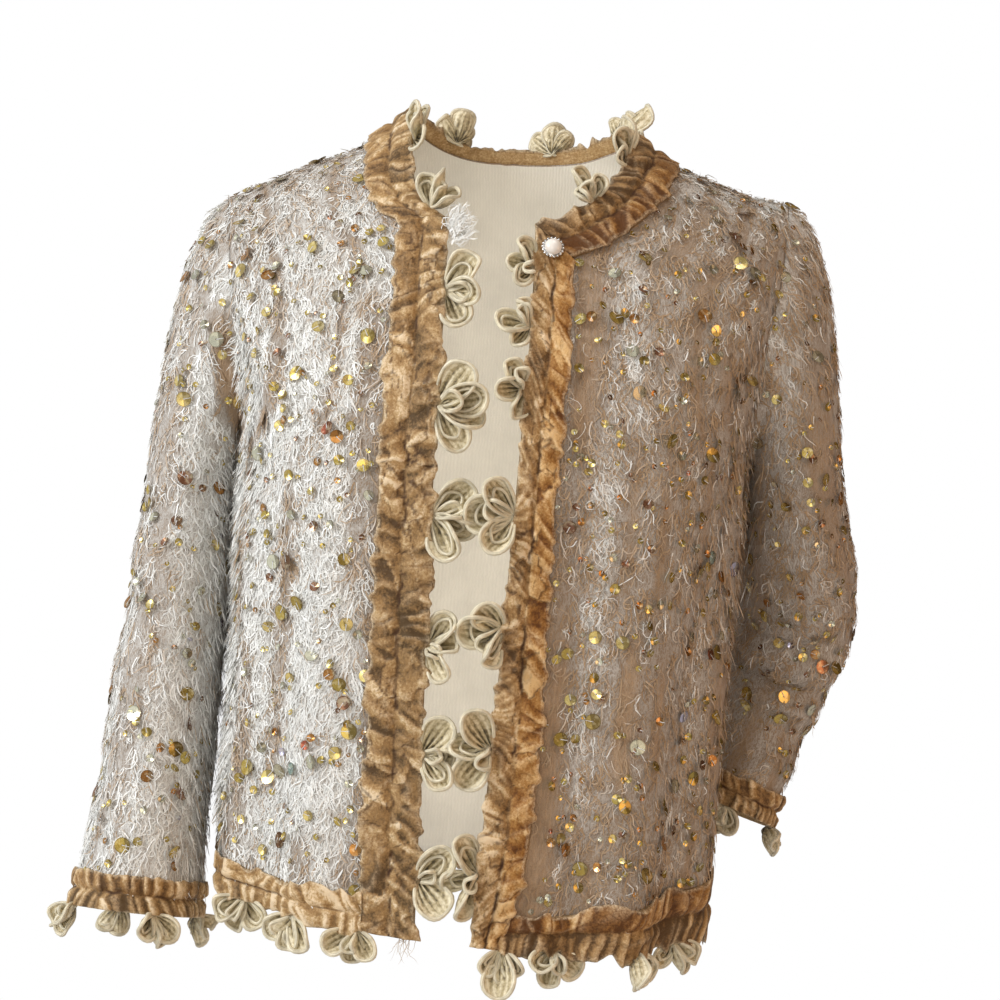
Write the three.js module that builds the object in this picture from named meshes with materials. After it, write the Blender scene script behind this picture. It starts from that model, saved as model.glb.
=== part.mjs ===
// A cropped evening jacket of fringed, sequinned cloth, worn open and filled out with no wearer.
// Edge-to-edge fronts, one-piece set-in sleeves, gathered velvet ribbon on every edge, and
// looped-braid flowers sewn under the ribbon so that they stand out past the edge.
//
// Frame: millimetres, +Z up, the front faces -Y, the wearer's left is +X.
// Origin: the middle of the neck, level with the shoulder seams where they meet the neckline.

import * as THREE from "three";

const DEG = Math.PI / 180;

// ---------------------------------------------------------------- driving dimensions (mm)

const CLOTH_WALL = 2; // fringed cloth, all through
const SEAM_GAP = 0.3; // between two pieces that are sewn together
const RIBBON_SEAT = 0.9; // the ribbon's back above the cloth it is sewn to
const MITRE_GAP = 2.2; // between the front ribbons and the hem's
const UNDERARM_Z = -225;
const HEM_Z = -537; // the finished hem, below the origin, before the sway
const TURN_EVEN = 0.77; // makes equal steps of turn about equally long all round
const FRONT_DIP = 9; // the fronts are cut this much longer in the middle
const TUCK = 8; // the cloth stops this far short of a finished edge, and the ribbon runs on
const SWAY = { start: -60, shift: -36, tilt: -0.115, ease: 0.15 }; // how the body hangs to one side

// The body from the shoulder seam (drop 0) to the underarm (drop 1) and the hem (drop 2). square
// is the exponent of the section's superellipse: 2 is an ellipse.
const TORSO = [
  { drop: 0.0, halfWidth: 200, front: 108, back: 94, square: 3.2 },
  { drop: 0.5, halfWidth: 197, front: 117, back: 103, square: 3.2 },
  { drop: 0.8, halfWidth: 184, front: 125, back: 106, square: 2.9 },
  { drop: 1.0, halfWidth: 175, front: 129, back: 104, square: 2.7 },
  { drop: 1.2, halfWidth: 174, front: 128, back: 100, square: 2.6 },
  { drop: 1.5, halfWidth: 171, front: 121, back: 98, square: 2.5 },
  { drop: 1.8, halfWidth: 170, front: 120, back: 105, square: 2.45 },
  { drop: 2.0, halfWidth: 165, front: 120, back: 110, square: 2.4 },
];

// Height of the shoulder seams. The left shoulder hangs a little lower.
const RIDGE = [
  { x: -200, z: -53 },
  { x: -172, z: -42 },
  { x: -140, z: -29 },
  { x: -98, z: -14 },
  { x: -60, z: 9 },
  { x: 10, z: 18 },
  { x: 84, z: -10 },
  { x: 112, z: -28 },
  { x: 140, z: -40 },
  { x: 170, z: -51 },
  { x: 200, z: -57 },
];

// Share of the half width that the fronts and the back reach at the armhole.
const ARMHOLE = [
  { drop: 0.0, front: 0.985, back: 0.985 },
  { drop: 0.25, front: 0.966, back: 0.972 },
  { drop: 0.5, front: 0.952, back: 0.96 },
  { drop: 0.75, front: 0.962, back: 0.966 },
  { drop: 0.92, front: 0.986, back: 0.988 },
  { drop: 1.0, front: 1.0, back: 1.0 },
];

// X of the two finished front edges, from the neck corner to the hem, before the sway.
const OPENING = [
  { drop: 0.5, right: -41, left: 17 },
  { drop: 0.8, right: -38, left: 18 },
  { drop: 1.0, right: -37, left: 17 },
  { drop: 1.5, right: -31, left: 15 },
  { drop: 2.0, right: -24, left: 12 },
];

// The neck ribbon's inner edge, which is the neckline, and its outer edge, round the neck from
// the right front corner over both shoulders to the left front corner.
const NECKLINE = [
  { face: "front", inX: -42, inZ: -79, outX: -71, outZ: -81 },
  { face: "front", inX: -56, inZ: -66, outX: -85, outZ: -72 },
  { face: "front", inX: -63, inZ: -46, outX: -93, outZ: -56 },
  { face: "front", inX: -64, inZ: -22, outX: -95, outZ: -36 },
  { face: "ridge", inX: -62, outX: -93 },
  { face: "back", inX: -54, inZ: 2, outX: -80, outZ: -26 },
  { face: "back", inX: -28, inZ: -8, outX: -40, outZ: -39 },
  { face: "back", inX: 12, inZ: -12, outX: 12, outZ: -44 },
  { face: "back", inX: 50, inZ: -12, outX: 64, outZ: -43 },
  { face: "back", inX: 76, inZ: -8, outX: 100, outZ: -40 },
  { face: "ridge", inX: 84, outX: 115 },
  { face: "front", inX: 80, inZ: -30, outX: 112, outZ: -44 },
  { face: "front", inX: 66, inZ: -54, outX: 98, outZ: -68 },
  { face: "front", inX: 52, inZ: -68, outX: 79, outZ: -86 },
  { face: "front", inX: 35, inZ: -78, outX: 58, outZ: -99 },
  { face: "front", inX: 17, inZ: -84, outX: 40, outZ: -107 },
];
// The tops of the front ribbons, where they meet the neck's, at their inner and outer edges.
const NECK_MITRE = { right: { inZ: -82, outZ: -84 }, left: { inZ: -88, outZ: -112 } };
const NECK_CORNER = { right: -80, left: -90 }; // where the front edges turn into the neckline
const NECK_TUCK = 0.25; // how far across its ribbon the cloth ends
const NECK_RAISE = 0.2; // the neck ribbon, pulled over the shoulders, sits this much higher

// Soft hanging folds: where round the body, how wide, how deep at the hem, and how high they run.
const FOLDS = [
  { turn: -79, width: 9, depth: -5, top: 1.0 },
  { turn: -66, width: 7, depth: 6, top: 1.1 },
  { turn: -52, width: 6, depth: -4, top: 1.3 },
  { turn: -39, width: 6, depth: 4, top: 1.2 },
  { turn: 33, width: 6, depth: -5, top: 1.2 },
  { turn: 45, width: 7, depth: 7, top: 0.8 },
  { turn: 60, width: 7, depth: -5, top: 1.1 },
  { turn: 76, width: 8, depth: 5, top: 1.1 },
  { turn: 108, width: 9, depth: -5, top: 1.2 },
  { turn: 127, width: 9, depth: 7, top: 1.0 },
  { turn: 149, width: 8, depth: -5, top: 1.2 },
  { turn: 171, width: 8, depth: 5, top: 1.3 },
  { turn: -166, width: 8, depth: -6, top: 1.1 },
  { turn: -143, width: 9, depth: 7, top: 1.0 },
  { turn: -112, width: 9, depth: -4, top: 1.2 },
];

// Each sleeve's centre line below the cap, with the half sizes of its oval section. turn swings
// the section's long axis round +Z. The last row is the finished cuff.
const SLEEVES = {
  right: [
    { x: -222, y: 2, z: -258, across: 31, deep: 56, turn: 0 },
    { x: -229, y: -3, z: -332, across: 34, deep: 57, turn: 0 },
    { x: -238, y: -13, z: -402, across: 36, deep: 57, turn: 0 },
    { x: -246, y: -25, z: -472, across: 38, deep: 55, turn: 0 },
    { x: -254, y: -37, z: -541, across: 42, deep: 53, turn: 0 },
  ],
  left: [
    { x: 199, y: 8, z: -233, across: 33, deep: 57, turn: 0 },
    { x: 205, y: 36, z: -288, across: 38, deep: 56, turn: 4 },
    { x: 211, y: 76, z: -341, across: 43, deep: 54, turn: 12 },
    { x: 198, y: 102, z: -390, across: 40, deep: 53, turn: 20 },
    { x: 176, y: 104, z: -440, across: 35, deep: 53, turn: 28 },
    { x: 154, y: 97, z: -489, across: 32, deep: 54, turn: 34 },
  ],
};
// How the cap leaves the armhole: its angle below level at the top and under the arm, and its reach.
const ARMHOLE_GAP = 0.7;
const CAP = { topFall: 26, underFall: 68, reach: 118, arrive: 105 };
// Creases pressed into the bent elbow: place along the sleeve and round it, size and depth.
const ELBOW_CREASES = [
  { along: 0.4, round: 0.3, length: 0.03, width: 0.16, depth: -6 },
  { along: 0.47, round: 0.3, length: 0.035, width: 0.15, depth: 6 },
  { along: 0.56, round: 0.34, length: 0.03, width: 0.17, depth: -7 },
  { along: 0.66, round: 0.3, length: 0.035, width: 0.15, depth: 5 },
];

// Gathered velvet ribbon, sewn down its middle so that it puffs on both sides. ruffle is how far
// its free edge strays, as a share of its width, and swell how unevenly it puffs.
const RIBBON = { edge: 2.4, puff: 5, stitch: 2.2, ruffle: 0.04, swell: 0.1 };
const CUFF_RIBBON = 23;
// Widths at each place: the drop down a front edge, and the turn round the hem.
const RIBBON_WIDTH = {
  front_right: [
    { place: 0.5, width: 29 },
    { place: 0.8, width: 34 },
    { place: 1.5, width: 36 },
    { place: 2, width: 35 },
  ],
  front_left: [
    { place: 0.5, width: 26 },
    { place: 1.2, width: 26 },
    { place: 1.6, width: 30 },
    { place: 1.85, width: 29 },
    { place: 2, width: 17 },
  ],
  hem: [
    { place: 0, width: 19 },
    { place: 30, width: 23 },
    { place: 55, width: 31 },
    { place: 85, width: 37 },
    { place: 130, width: 29 },
    { place: 230, width: 24 },
    { place: 290, width: 21 },
    { place: 360, width: 22 },
  ],
};

// A flower of looped braid: petals fan out from a root that is sewn under the ribbon.
const FLOWER = { thick: 2.6, rootLength: 6, rootWidth: 6, stand: 0.6, fan: 150, tilt: 62 };
const FLOWER_RISE = { level: -0.1, lifted: 0.2 }; // its face above the cloth's, under the ribbon
// One petal's outline: how far round it, as a share of its part of the fan, and how far out.
const PETAL = [
  { round: -0.5, out: 0.5 },
  { round: -0.38, out: 0.8 },
  { round: -0.2, out: 0.97 },
  { round: 0.02, out: 1 },
  { round: 0.24, out: 0.94 },
  { round: 0.4, out: 0.76 },
  { round: 0.5, out: 0.5 },
];
// reach: how far it stands past the edge; wing: half its length along the edge; lean swings it
// along the edge and lift raises it off the cloth, both in degrees.
const FLOWERS = {
  front_right: [
    { z: -127, petals: 3, reach: 28, wing: 25, lean: -10, lift: 2 },
    { z: -202, petals: 4, reach: 32, wing: 29, lean: -8, lift: -3 },
    { z: -272, petals: 3, reach: 29, wing: 28, lean: -6, lift: -4 },
    { z: -354, petals: 3, reach: 21, wing: 23, lean: 0, lift: -4 },
    { z: -422, petals: 3, reach: 21, wing: 25, lean: 4, lift: -6 },
    { z: -500, petals: 3, reach: 19, wing: 27, lean: 0, lift: -7 },
  ],
  front_left: [
    { z: -111, petals: 3, reach: 18, wing: 17, lean: 4, lift: 4 },
    { z: -150, petals: 3, reach: 23, wing: 15, lean: 6, lift: 2 },
    { z: -190, petals: 3, reach: 24, wing: 19, lean: 8, lift: 7 },
    { z: -270, petals: 3, reach: 31, wing: 27, lean: 0, lift: 7 },
    { z: -341, petals: 3, reach: 31, wing: 24, lean: 2, lift: 8 },
    { z: -415, petals: 3, reach: 27, wing: 27, lean: 0, lift: 10 },
    { z: -494, petals: 3, reach: 25, wing: 27, lean: 2, lift: 12 },
  ],
  // at: place along the neckline, from 0 at the right corner to 1 at the left one.
  neck: [
    { at: 0.045, petals: 3, reach: 27, wing: 19, lean: 10, lift: 12 },
    { at: 0.205, petals: 3, reach: 27, wing: 21, lean: 0, lift: 26 },
    { at: 0.38, petals: 3, reach: 24, wing: 18, lean: 0, lift: 30 },
    { at: 0.5, petals: 3, reach: 24, wing: 18, lean: 0, lift: 30 },
    { at: 0.61, petals: 3, reach: 30, wing: 15, lean: 0, lift: 58 },
    { at: 0.735, petals: 4, reach: 30, wing: 20, lean: 0, lift: 36 },
    { at: 0.85, petals: 3, reach: 25, wing: 15, lean: 0, lift: 20 },
  ],
  // turn: degrees round the body from the middle of the front, towards the wearer's left.
  hem: [
    { turn: 14, petals: 3, reach: 31, wing: 17 },
    { turn: 29, petals: 3, reach: 22, wing: 20 },
    { turn: 49, petals: 3, reach: 22, wing: 21 },
    { turn: 65, petals: 3, reach: 21, wing: 18 },
    { turn: 98, petals: 3, reach: 22, wing: 20 },
    { turn: 116, petals: 3, reach: 22, wing: 21 },
    { turn: 133, petals: 3, reach: 21, wing: 20 },
    { turn: 152, petals: 3, reach: 22, wing: 21 },
    { turn: 171, petals: 3, reach: 21, wing: 20 },
    { turn: 190, petals: 3, reach: 22, wing: 21 },
    { turn: 209, petals: 3, reach: 21, wing: 20 },
    { turn: 229, petals: 3, reach: 22, wing: 21 },
    { turn: 249, petals: 3, reach: 21, wing: 20 },
    { turn: 301, petals: 3, reach: 21, wing: 19 },
    { turn: 316, petals: 3, reach: 22, wing: 22 },
    { turn: 333, petals: 3, reach: 21, wing: 20 },
  ],
  cuff: { count: 4, start: { right: 0.075, left: 0.125 }, petals: 3, reach: 21, wing: 19 },
};

// A pearl in a beaded cup, on the top of the left front ribbon.
const BUTTON = {
  x: 29,
  z: -102,
  seat: 5.8,
  radius: 7.6,
  cupHeight: 2.4,
  pearlRadius: 5.6,
  pearlHeight: 4.6,
};

// How many facets each piece has, by its rows and columns.
const FRONT_GRID = { rows: 12, neckRows: 9, columns: 12 };
const BACK_GRID = { rows: 12, yokeRows: 7, shoulder: 6, neck: 12 };
const SLEEVE_GRID = { round: 20, cap: 6, arm: 13 };
const RIBBON_STEPS = { front: 26, neck: 44 };
const BUTTON_SIDES = 16;
const SHOULDER_CROWD = 1.4; // rows lie closer together towards the shoulder seam
const BACK_YOKE = 0.6; // the back's rows are level below this drop

// ---------------------------------------------------------------- materials

const MATERIALS = {
  cloth: { color: 0xe4ddd2, roughness: 0.8, metalness: 0 },
  velvet: { color: 0xb98245, roughness: 0.7, metalness: 0 },
  braid: { color: 0xd2c49a, roughness: 0.5, metalness: 0.25 },
  pearl: { color: 0xead2c4, roughness: 0.2, metalness: 0 },
  metal: { color: 0xc9b79a, roughness: 0.3, metalness: 0.9 },
};

const jacket = new THREE.Group();

function addPiece(name, geometry, kind) {
  const mesh = new THREE.Mesh(geometry, new THREE.MeshStandardMaterial(MATERIALS[kind]));
  mesh.name = name;
  jacket.add(mesh);
  return mesh;
}

// ---------------------------------------------------------------- reading the tables

const clamp = (value, low, high) => Math.min(Math.max(value, low), high);
const mix = (a, b, share) => a + (b - a) * share;

// One column of a table at any key, on a smooth curve through its rows.
function read(table, key, column, at) {
  const last = table.length - 1;
  let i = 0;
  while (i < last - 1 && at > table[i + 1][key]) i++;
  const slope = (j) => {
    const before = table[Math.max(j - 1, 0)];
    const after = table[Math.min(j + 1, last)];
    return (after[column] - before[column]) / (after[key] - before[key]);
  };
  const [a, b] = [table[i], table[i + 1]];
  const span = b[key] - a[key];
  const t = clamp((at - a[key]) / span, 0, 1);
  const ease = t * t * (3 - 2 * t);
  const bow = span * (t * (1 - t) * (1 - t) * slope(i) - t * t * (1 - t) * slope(i + 1));
  return mix(a[column], b[column], ease) + bow;
}

// The table with a number added to each row, to read it by its place in the list.
const numbered = (table) => table.map((row, row_number) => ({ ...row, row: row_number }));

// ---------------------------------------------------------------- the torso's surface

const halfWidthAt = (drop) => read(TORSO, "drop", "halfWidth", drop);

// The turn, counted from the middle of the front or the back, at which the surface has this X.
function turnAtX(x, drop) {
  const square = read(TORSO, "drop", "square", drop);
  const share = clamp(Math.abs(x) / halfWidthAt(drop), 0, 1);
  const facing = (1 - share ** square) ** (1 / square);
  return (Math.sign(x) * Math.atan2(share, facing * TURN_EVEN)) / DEG;
}

// The drop at which the surface has this height.
function dropAtZ(x, z) {
  if (z < UNDERARM_Z) return 1 + (z - UNDERARM_Z) / (HEM_Z - UNDERARM_Z);
  const ridge = read(RIDGE, "x", "z", x);
  return Math.acos(clamp(1 - (ridge - z) / (ridge - UNDERARM_Z), -1, 1)) / (90 * DEG);
}

function foldAt(turn, drop) {
  let sum = 0;
  for (const fold of FOLDS) {
    const away = (((turn - fold.turn + 540) % 360) - 180) / fold.width;
    const grown = clamp((drop - fold.top) / (2 - fold.top), 0, 1);
    sum += fold.depth * Math.exp(-away * away) * grown ** 0.8;
  }
  return sum;
}

// A point of the cloth's outer face. turn runs round the body in degrees: 0 is the middle of the
// front, 90 the wearer's left side, 180 the middle of the back. A drop below 0 is past the
// shoulder seam, on the other face.
function bodyPoint(turn, drop) {
  if (drop < 0) return bodyPoint(Math.sign(turn || 1) * (180 - Math.abs(turn)), -drop);
  const [s, c] = [Math.sin(turn * DEG), Math.cos(turn * DEG) / TURN_EVEN];
  const depth = read(TORSO, "drop", c >= 0 ? "front" : "back", drop);
  const square = read(TORSO, "drop", "square", drop);
  const reach = (Math.abs(s) ** square + Math.abs(c) ** square) ** (-1 / square);
  const arch = Math.min(drop, 1) * 90 * DEG;
  const bulge = foldAt(turn, drop);
  const x = halfWidthAt(drop) * reach * s;
  const y = -depth * reach * c * Math.sin(arch);
  const ridge = read(RIDGE, "x", "z", x);
  const dip = FRONT_DIP * clamp(reach * c, 0, 1) ** 2;
  const z =
    drop <= 1
      ? ridge - (ridge - UNDERARM_Z) * (1 - Math.cos(arch))
      : UNDERARM_Z + (drop - 1) * (HEM_Z - dip - UNDERARM_Z);
  return swayed(new THREE.Vector3(x + bulge * reach * s, y - bulge * reach * c, z));
}

function swayed(point) {
  const t = Math.max(0, (SWAY.start - point.z) / (SWAY.start - HEM_Z));
  const amount = ((t * t) / (t + SWAY.ease)) * (1 + SWAY.ease);
  point.z += SWAY.tilt * point.x * amount;
  point.x += SWAY.shift * amount;
  return point;
}

// The two directions along the surface and the one out of it.
function bodyAxes(turn, drop) {
  const [stepTurn, stepDrop] = [0.2, 0.002];
  const round = bodyPoint(turn + stepTurn, drop).sub(bodyPoint(turn - stepTurn, drop));
  const down = bodyPoint(turn, drop + stepDrop).sub(bodyPoint(turn, drop - stepDrop));
  const out = round.clone().cross(down).normalize().negate();
  // On the back the turn runs the other way, so the sign comes from the body's own middle.
  const fromMiddle = bodyPoint(turn, drop).sub(new THREE.Vector3(0, 0, UNDERARM_Z));
  if (out.dot(fromMiddle) < 0) out.negate();
  return { round: round.normalize(), down: down.normalize(), out };
}

const bodyPointOut = (turn, drop, height) =>
  bodyPoint(turn, drop).addScaledVector(bodyAxes(turn, drop).out, height);

// ---------------------------------------------------------------- solids from grids of points

// A closed wall between two grids of points with the same rows and columns. With loop, the last
// column joins the first.
function wallBetween(outer, inner, loop = false) {
  const [rows, columns] = [outer.length, outer[0].length];
  const positions = [...outer.flat(), ...inner.flat()].flatMap((p) => [p.x, p.y, p.z]);
  const at = (layer, r, c) => layer * rows * columns + r * columns + (c % columns);
  const faces = [];
  const quad = (a, b, c, d) => faces.push(a, b, c, a, c, d);
  const across = loop ? columns : columns - 1;
  for (let r = 0; r < rows - 1; r++) {
    for (let c = 0; c < across; c++) {
      quad(at(0, r, c), at(0, r, c + 1), at(0, r + 1, c + 1), at(0, r + 1, c));
      quad(at(1, r, c), at(1, r + 1, c), at(1, r + 1, c + 1), at(1, r, c + 1));
    }
  }
  for (let c = 0; c < across; c++) {
    quad(at(1, 0, c), at(1, 0, c + 1), at(0, 0, c + 1), at(0, 0, c));
    quad(at(0, rows - 1, c), at(0, rows - 1, c + 1), at(1, rows - 1, c + 1), at(1, rows - 1, c));
  }
  for (let r = 0; r < rows - 1 && !loop; r++) {
    quad(at(0, r, 0), at(0, r + 1, 0), at(1, r + 1, 0), at(1, r, 0));
    quad(at(1, r, across), at(1, r + 1, across), at(0, r + 1, across), at(0, r, across));
  }
  return facingOut(positions, faces);
}

// The geometry with its faces turned to point out of the solid.
function facingOut(positions, faces) {
  const corner = (i) => new THREE.Vector3().fromArray(positions, 3 * i);
  let volume = 0;
  for (let i = 0; i < faces.length; i += 3) {
    volume += corner(faces[i]).dot(corner(faces[i + 1]).cross(corner(faces[i + 2])));
  }
  const geometry = new THREE.BufferGeometry();
  geometry.setAttribute("position", new THREE.Float32BufferAttribute(positions, 3));
  geometry.setIndex(volume < 0 ? faces.reverse() : faces);
  geometry.computeVertexNormals();
  return geometry;
}

const spread = (from, to, count) =>
  Array.from({ length: count + 1 }, (_, i) => mix(from, to, i / count));

// ---------------------------------------------------------------- fronts and back

const signOf = (side) => (side === "left" ? 1 : -1);
const RIDGE_ROW = { right: 4, left: 10 }; // the neckline's rows on the shoulder seams
const alongAtRidge = (side) => RIDGE_ROW[side] / (NECKLINE.length - 1);
const hemTuckDrop = TUCK / (UNDERARM_Z - HEM_Z);

// The neckline's rows as turn and drop on the torso. Drops on the back are below 0.
const NECK_EDGES = numbered(NECKLINE).map(({ row, face, inX, inZ, outX, outZ }) => {
  const place = (x, z) => {
    const drop = face === "ridge" ? 0 : dropAtZ(x, z);
    return { turn: turnAtX(x, drop), drop: face === "back" ? -drop : drop };
  };
  const [inner, outer] = [place(inX, inZ), place(outX, outZ)];
  return { row, inTurn: inner.turn, inDrop: inner.drop, outTurn: outer.turn, outDrop: outer.drop };
});

// A place on the neck ribbon: along it from 0 to 1, and across it from 0, inside, to 1, outside.
function neckPlace(along, across) {
  const at = along * (NECK_EDGES.length - 1);
  const value = (name) => read(NECK_EDGES, "row", name, at);
  return {
    turn: mix(value("inTurn"), value("outTurn"), across),
    drop: mix(value("inDrop"), value("outDrop"), across),
  };
}

// Where the cloth ends under a stretch of the neck ribbon, by rising drop.
function clothNeckline(from, to) {
  const line = spread(from, to, 24).map((along) => neckPlace(along, NECK_TUCK));
  return line
    .map(({ turn, drop }) => ({ turn, drop: Math.abs(drop) }))
    .sort((a, b) => a.drop - b.drop);
}

function turnOnLine(line, drop) {
  const next = line.findIndex((p) => p.drop > drop);
  const i = clamp(next < 0 ? line.length - 1 : next, 1, line.length - 1);
  const [a, b] = [line[i - 1], line[i]];
  return mix(a.turn, b.turn, clamp((drop - a.drop) / (b.drop - a.drop || 1), 0, 1));
}

// The turn at which a front or the back ends: the side seam, and above it the armhole.
function outerTurn(face, drop) {
  const share = drop >= 1 ? 1 : read(ARMHOLE, "drop", face, drop);
  return turnAtX(share * halfWidthAt(drop), drop);
}

// X of a front's cloth edge, under its ribbon.
const clothEdgeX = (side, drop) => read(OPENING, "drop", side, drop) + signOf(side) * TUCK;
const cornerDrop = (side) => dropAtZ(clothEdgeX(side, 0.5), NECK_CORNER[side] - TUCK);

function frontDrops(side) {
  const corner = cornerDrop(side);
  return [
    ...spread(2 - hemTuckDrop, corner, FRONT_GRID.rows),
    ...spread(1, 0, FRONT_GRID.neckRows)
      .slice(1)
      .map((share) => corner * share ** SHOULDER_CROWD),
  ];
}

// The turns of a front's columns at one height, from its edge or neckline to its side.
function frontTurns(side, drop, neckline) {
  const inner =
    drop >= cornerDrop(side) - 1e-9
      ? turnAtX(clothEdgeX(side, drop), drop)
      : turnOnLine(neckline, drop);
  return spread(inner, signOf(side) * outerTurn("front", drop), FRONT_GRID.columns);
}

function frontPanel(side) {
  const ridge = alongAtRidge(side);
  const neckline = side === "right" ? clothNeckline(0, ridge) : clothNeckline(ridge, 1);
  const seam = new THREE.Vector3(0, -SEAM_GAP / 2, 0);
  const layer = (height) =>
    frontDrops(side).map((drop) =>
      frontTurns(side, drop, neckline).map((turn) => bodyPointOut(turn, drop, height).add(seam)),
    );
  addPiece(`front_${side}`, wallBetween(layer(0), layer(-CLOTH_WALL)), "cloth");
}

// The back's neckline on each side, from the shoulder seam to the middle.
const middleRow = NECKLINE.findIndex((row) => row.face === "back" && row.inX > 0);
const BACK_NECKLINE = {
  right: clothNeckline(alongAtRidge("right"), middleRow / (NECKLINE.length - 1)),
  left: clothNeckline(middleRow / (NECKLINE.length - 1), alongAtRidge("left")),
};

// Where the back's columns stand, from -1 at the right side seam to 1 at the left one. One column
// on each side ends where the shoulder seam meets the neckline.
function backLaterals() {
  const corner = (side) => Math.abs(BACK_NECKLINE[side][0].turn) / outerTurn("back", 0);
  const crowdedToEnds = spread(0, 180, BACK_GRID.neck).map((a) => (1 - Math.cos(a * DEG)) / 2);
  return [
    ...spread(-1, -corner("right"), BACK_GRID.shoulder),
    ...crowdedToEnds.slice(1).map((share) => mix(-corner("right"), corner("left"), share)),
    ...spread(corner("left"), 1, BACK_GRID.shoulder).slice(1),
  ];
}

// Each column of the back runs from the hem to the neckline or the shoulder seam above it.
function backPanel() {
  const laterals = backLaterals();
  const rows = [
    ...spread(2 - hemTuckDrop, BACK_YOKE, BACK_GRID.rows).map((drop) => () => drop),
    ...spread(1, 0, BACK_GRID.yokeRows)
      .slice(1)
      .map((share) => (top) => mix(top, BACK_YOKE, share ** SHOULDER_CROWD)),
  ];
  const seam = new THREE.Vector3(0, SEAM_GAP / 2, 0);
  const layer = (height) =>
    rows.map((dropBelow) =>
      laterals.map((lateral) => {
        const line = BACK_NECKLINE[lateral < 0 ? "right" : "left"];
        const drop = dropBelow(topOfBack(Math.abs(lateral), line));
        const turn = 180 - Math.abs(outerTurn("back", drop) * lateral);
        return bodyPointOut(lateral < 0 ? -turn : turn, drop, height).add(seam);
      }),
    );
  addPiece("back", wallBetween(layer(0), layer(-CLOTH_WALL)), "cloth");
}

// The drop at which a column of the back ends: 0 at the shoulder seam, more in the neckline.
function topOfBack(share, line) {
  const width = (drop) => share * outerTurn("back", drop);
  if (width(0) >= Math.abs(line[0].turn)) return 0;
  let [low, high] = [0, line.at(-1).drop];
  for (let i = 0; i < 30; i++) {
    const drop = (low + high) / 2;
    if (Math.abs(turnOnLine(line, drop)) > width(drop)) low = drop;
    else high = drop;
  }
  return low;
}

// ---------------------------------------------------------------- sleeves

// The armhole as a loop: 0 at the shoulder, 0.25 at the front, 0.5 under the arm, 0.75 behind.
function armholePoint(side, round) {
  const front = round <= 0.5;
  const drop = front ? round * 2 : (1 - round) * 2;
  const turn = outerTurn(front ? "front" : "back", drop);
  return bodyPoint(signOf(side) * (front ? turn : 180 - turn), drop);
}

// The section's centre, half sizes and axes at a place along the arm, 0 below the cap, 1 at the cuff.
function armSection(side, along) {
  const rows = numbered(SLEEVES[side]);
  const at = along * (rows.length - 1);
  const value = (name, where = at) => read(rows, "row", name, clamp(where, 0, rows.length - 1));
  const centre = (where) => new THREE.Vector3(value("x", where), value("y", where), value("z", where));
  const axis = centre(Math.min(at + 0.05, rows.length - 1)).sub(centre(Math.max(at - 0.05, 0)));
  axis.normalize();
  const turn = value("turn") * DEG;
  const deepAxis = new THREE.Vector3(-Math.sin(turn), Math.cos(turn), 0);
  deepAxis.addScaledVector(axis, -deepAxis.dot(axis)).normalize();
  const acrossAxis = deepAxis.clone().cross(axis).normalize();
  if (acrossAxis.x < 0) acrossAxis.negate();
  return { centre: centre(at), axis, acrossAxis, deepAxis, across: value("across"), deep: value("deep") };
}

// A point round the arm's section. round 0 faces away from the body, 0.25 the front.
function armPoint(side, along, round, height) {
  const sign = signOf(side);
  const section = armSection(side, along);
  const angle = round * 360 * DEG;
  return section.centre
    .clone()
    .addScaledVector(section.acrossAxis, sign * Math.cos(angle) * (section.across + height))
    .addScaledVector(section.deepAxis, -Math.sin(angle) * (section.deep + height));
}

// A point of the cap, on a curve from the armhole to the top of the arm, share 0 to 1.
function capPoint(side, share, round, height) {
  const sign = signOf(side);
  const start = armholePoint(side, round);
  const end = armPoint(side, 0, round, 0);
  const under = (1 - Math.cos(round * 360 * DEG)) / 2;
  const fall = mix(CAP.topFall, CAP.underFall, under) * DEG;
  const length = mix(1, 0.35, under);
  const leave = new THREE.Vector3(sign * Math.cos(fall), 0, -Math.sin(fall));
  const [t, u] = [share, 1 - share];
  const point = start
    .clone()
    .addScaledVector(leave, ARMHOLE_GAP)
    .multiplyScalar(u * u * (1 + 2 * t))
    .addScaledVector(end, t * t * (3 - 2 * t))
    .addScaledVector(leave, CAP.reach * length * t * u * u)
    .addScaledVector(armSection(side, 0).axis, -CAP.arrive * length * t * t * u);
  if (height === 0) return point;
  const middle = capMiddle(side, share);
  const inward = middle.sub(point).normalize();
  return point.addScaledVector(inward, -height);
}

function capMiddle(side, share) {
  const middle = new THREE.Vector3();
  for (let i = 0; i < 8; i++) middle.addScaledVector(capPoint(side, share, i / 8, 0), 1 / 8);
  return middle;
}

function creaseAt(side, along, round) {
  if (side === "right") return 0;
  let sum = 0;
  for (const crease of ELBOW_CREASES) {
    const a = (along - crease.along) / crease.length;
    const b = (round - crease.round) / crease.width;
    sum += crease.depth * Math.exp(-a * a - b * b);
  }
  return sum;
}

function sleeve(side) {
  const clothEnd = 1 - TUCK / armLength(side);
  const rounds = spread(0, 1, SLEEVE_GRID.round).slice(0, -1);
  const layer = (height) => [
    ...spread(0, 1, SLEEVE_GRID.cap)
      .slice(0, -1)
      .map((share) => rounds.map((round) => capPoint(side, share, round, height))),
    ...spread(0, clothEnd, SLEEVE_GRID.arm).map((along) =>
      rounds.map((round) => armPoint(side, along, round, height + creaseAt(side, along, round))),
    ),
  ];
  addPiece(`sleeve_${side}`, wallBetween(layer(0), layer(-CLOTH_WALL), true), "cloth");
}

function armLength(side) {
  const centres = spread(0, 1, 40).map((along) => armSection(side, along).centre);
  return centres.slice(1).reduce((sum, point, i) => sum + point.distanceTo(centres[i]), 0);
}

// ---------------------------------------------------------------- velvet ribbon

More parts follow.
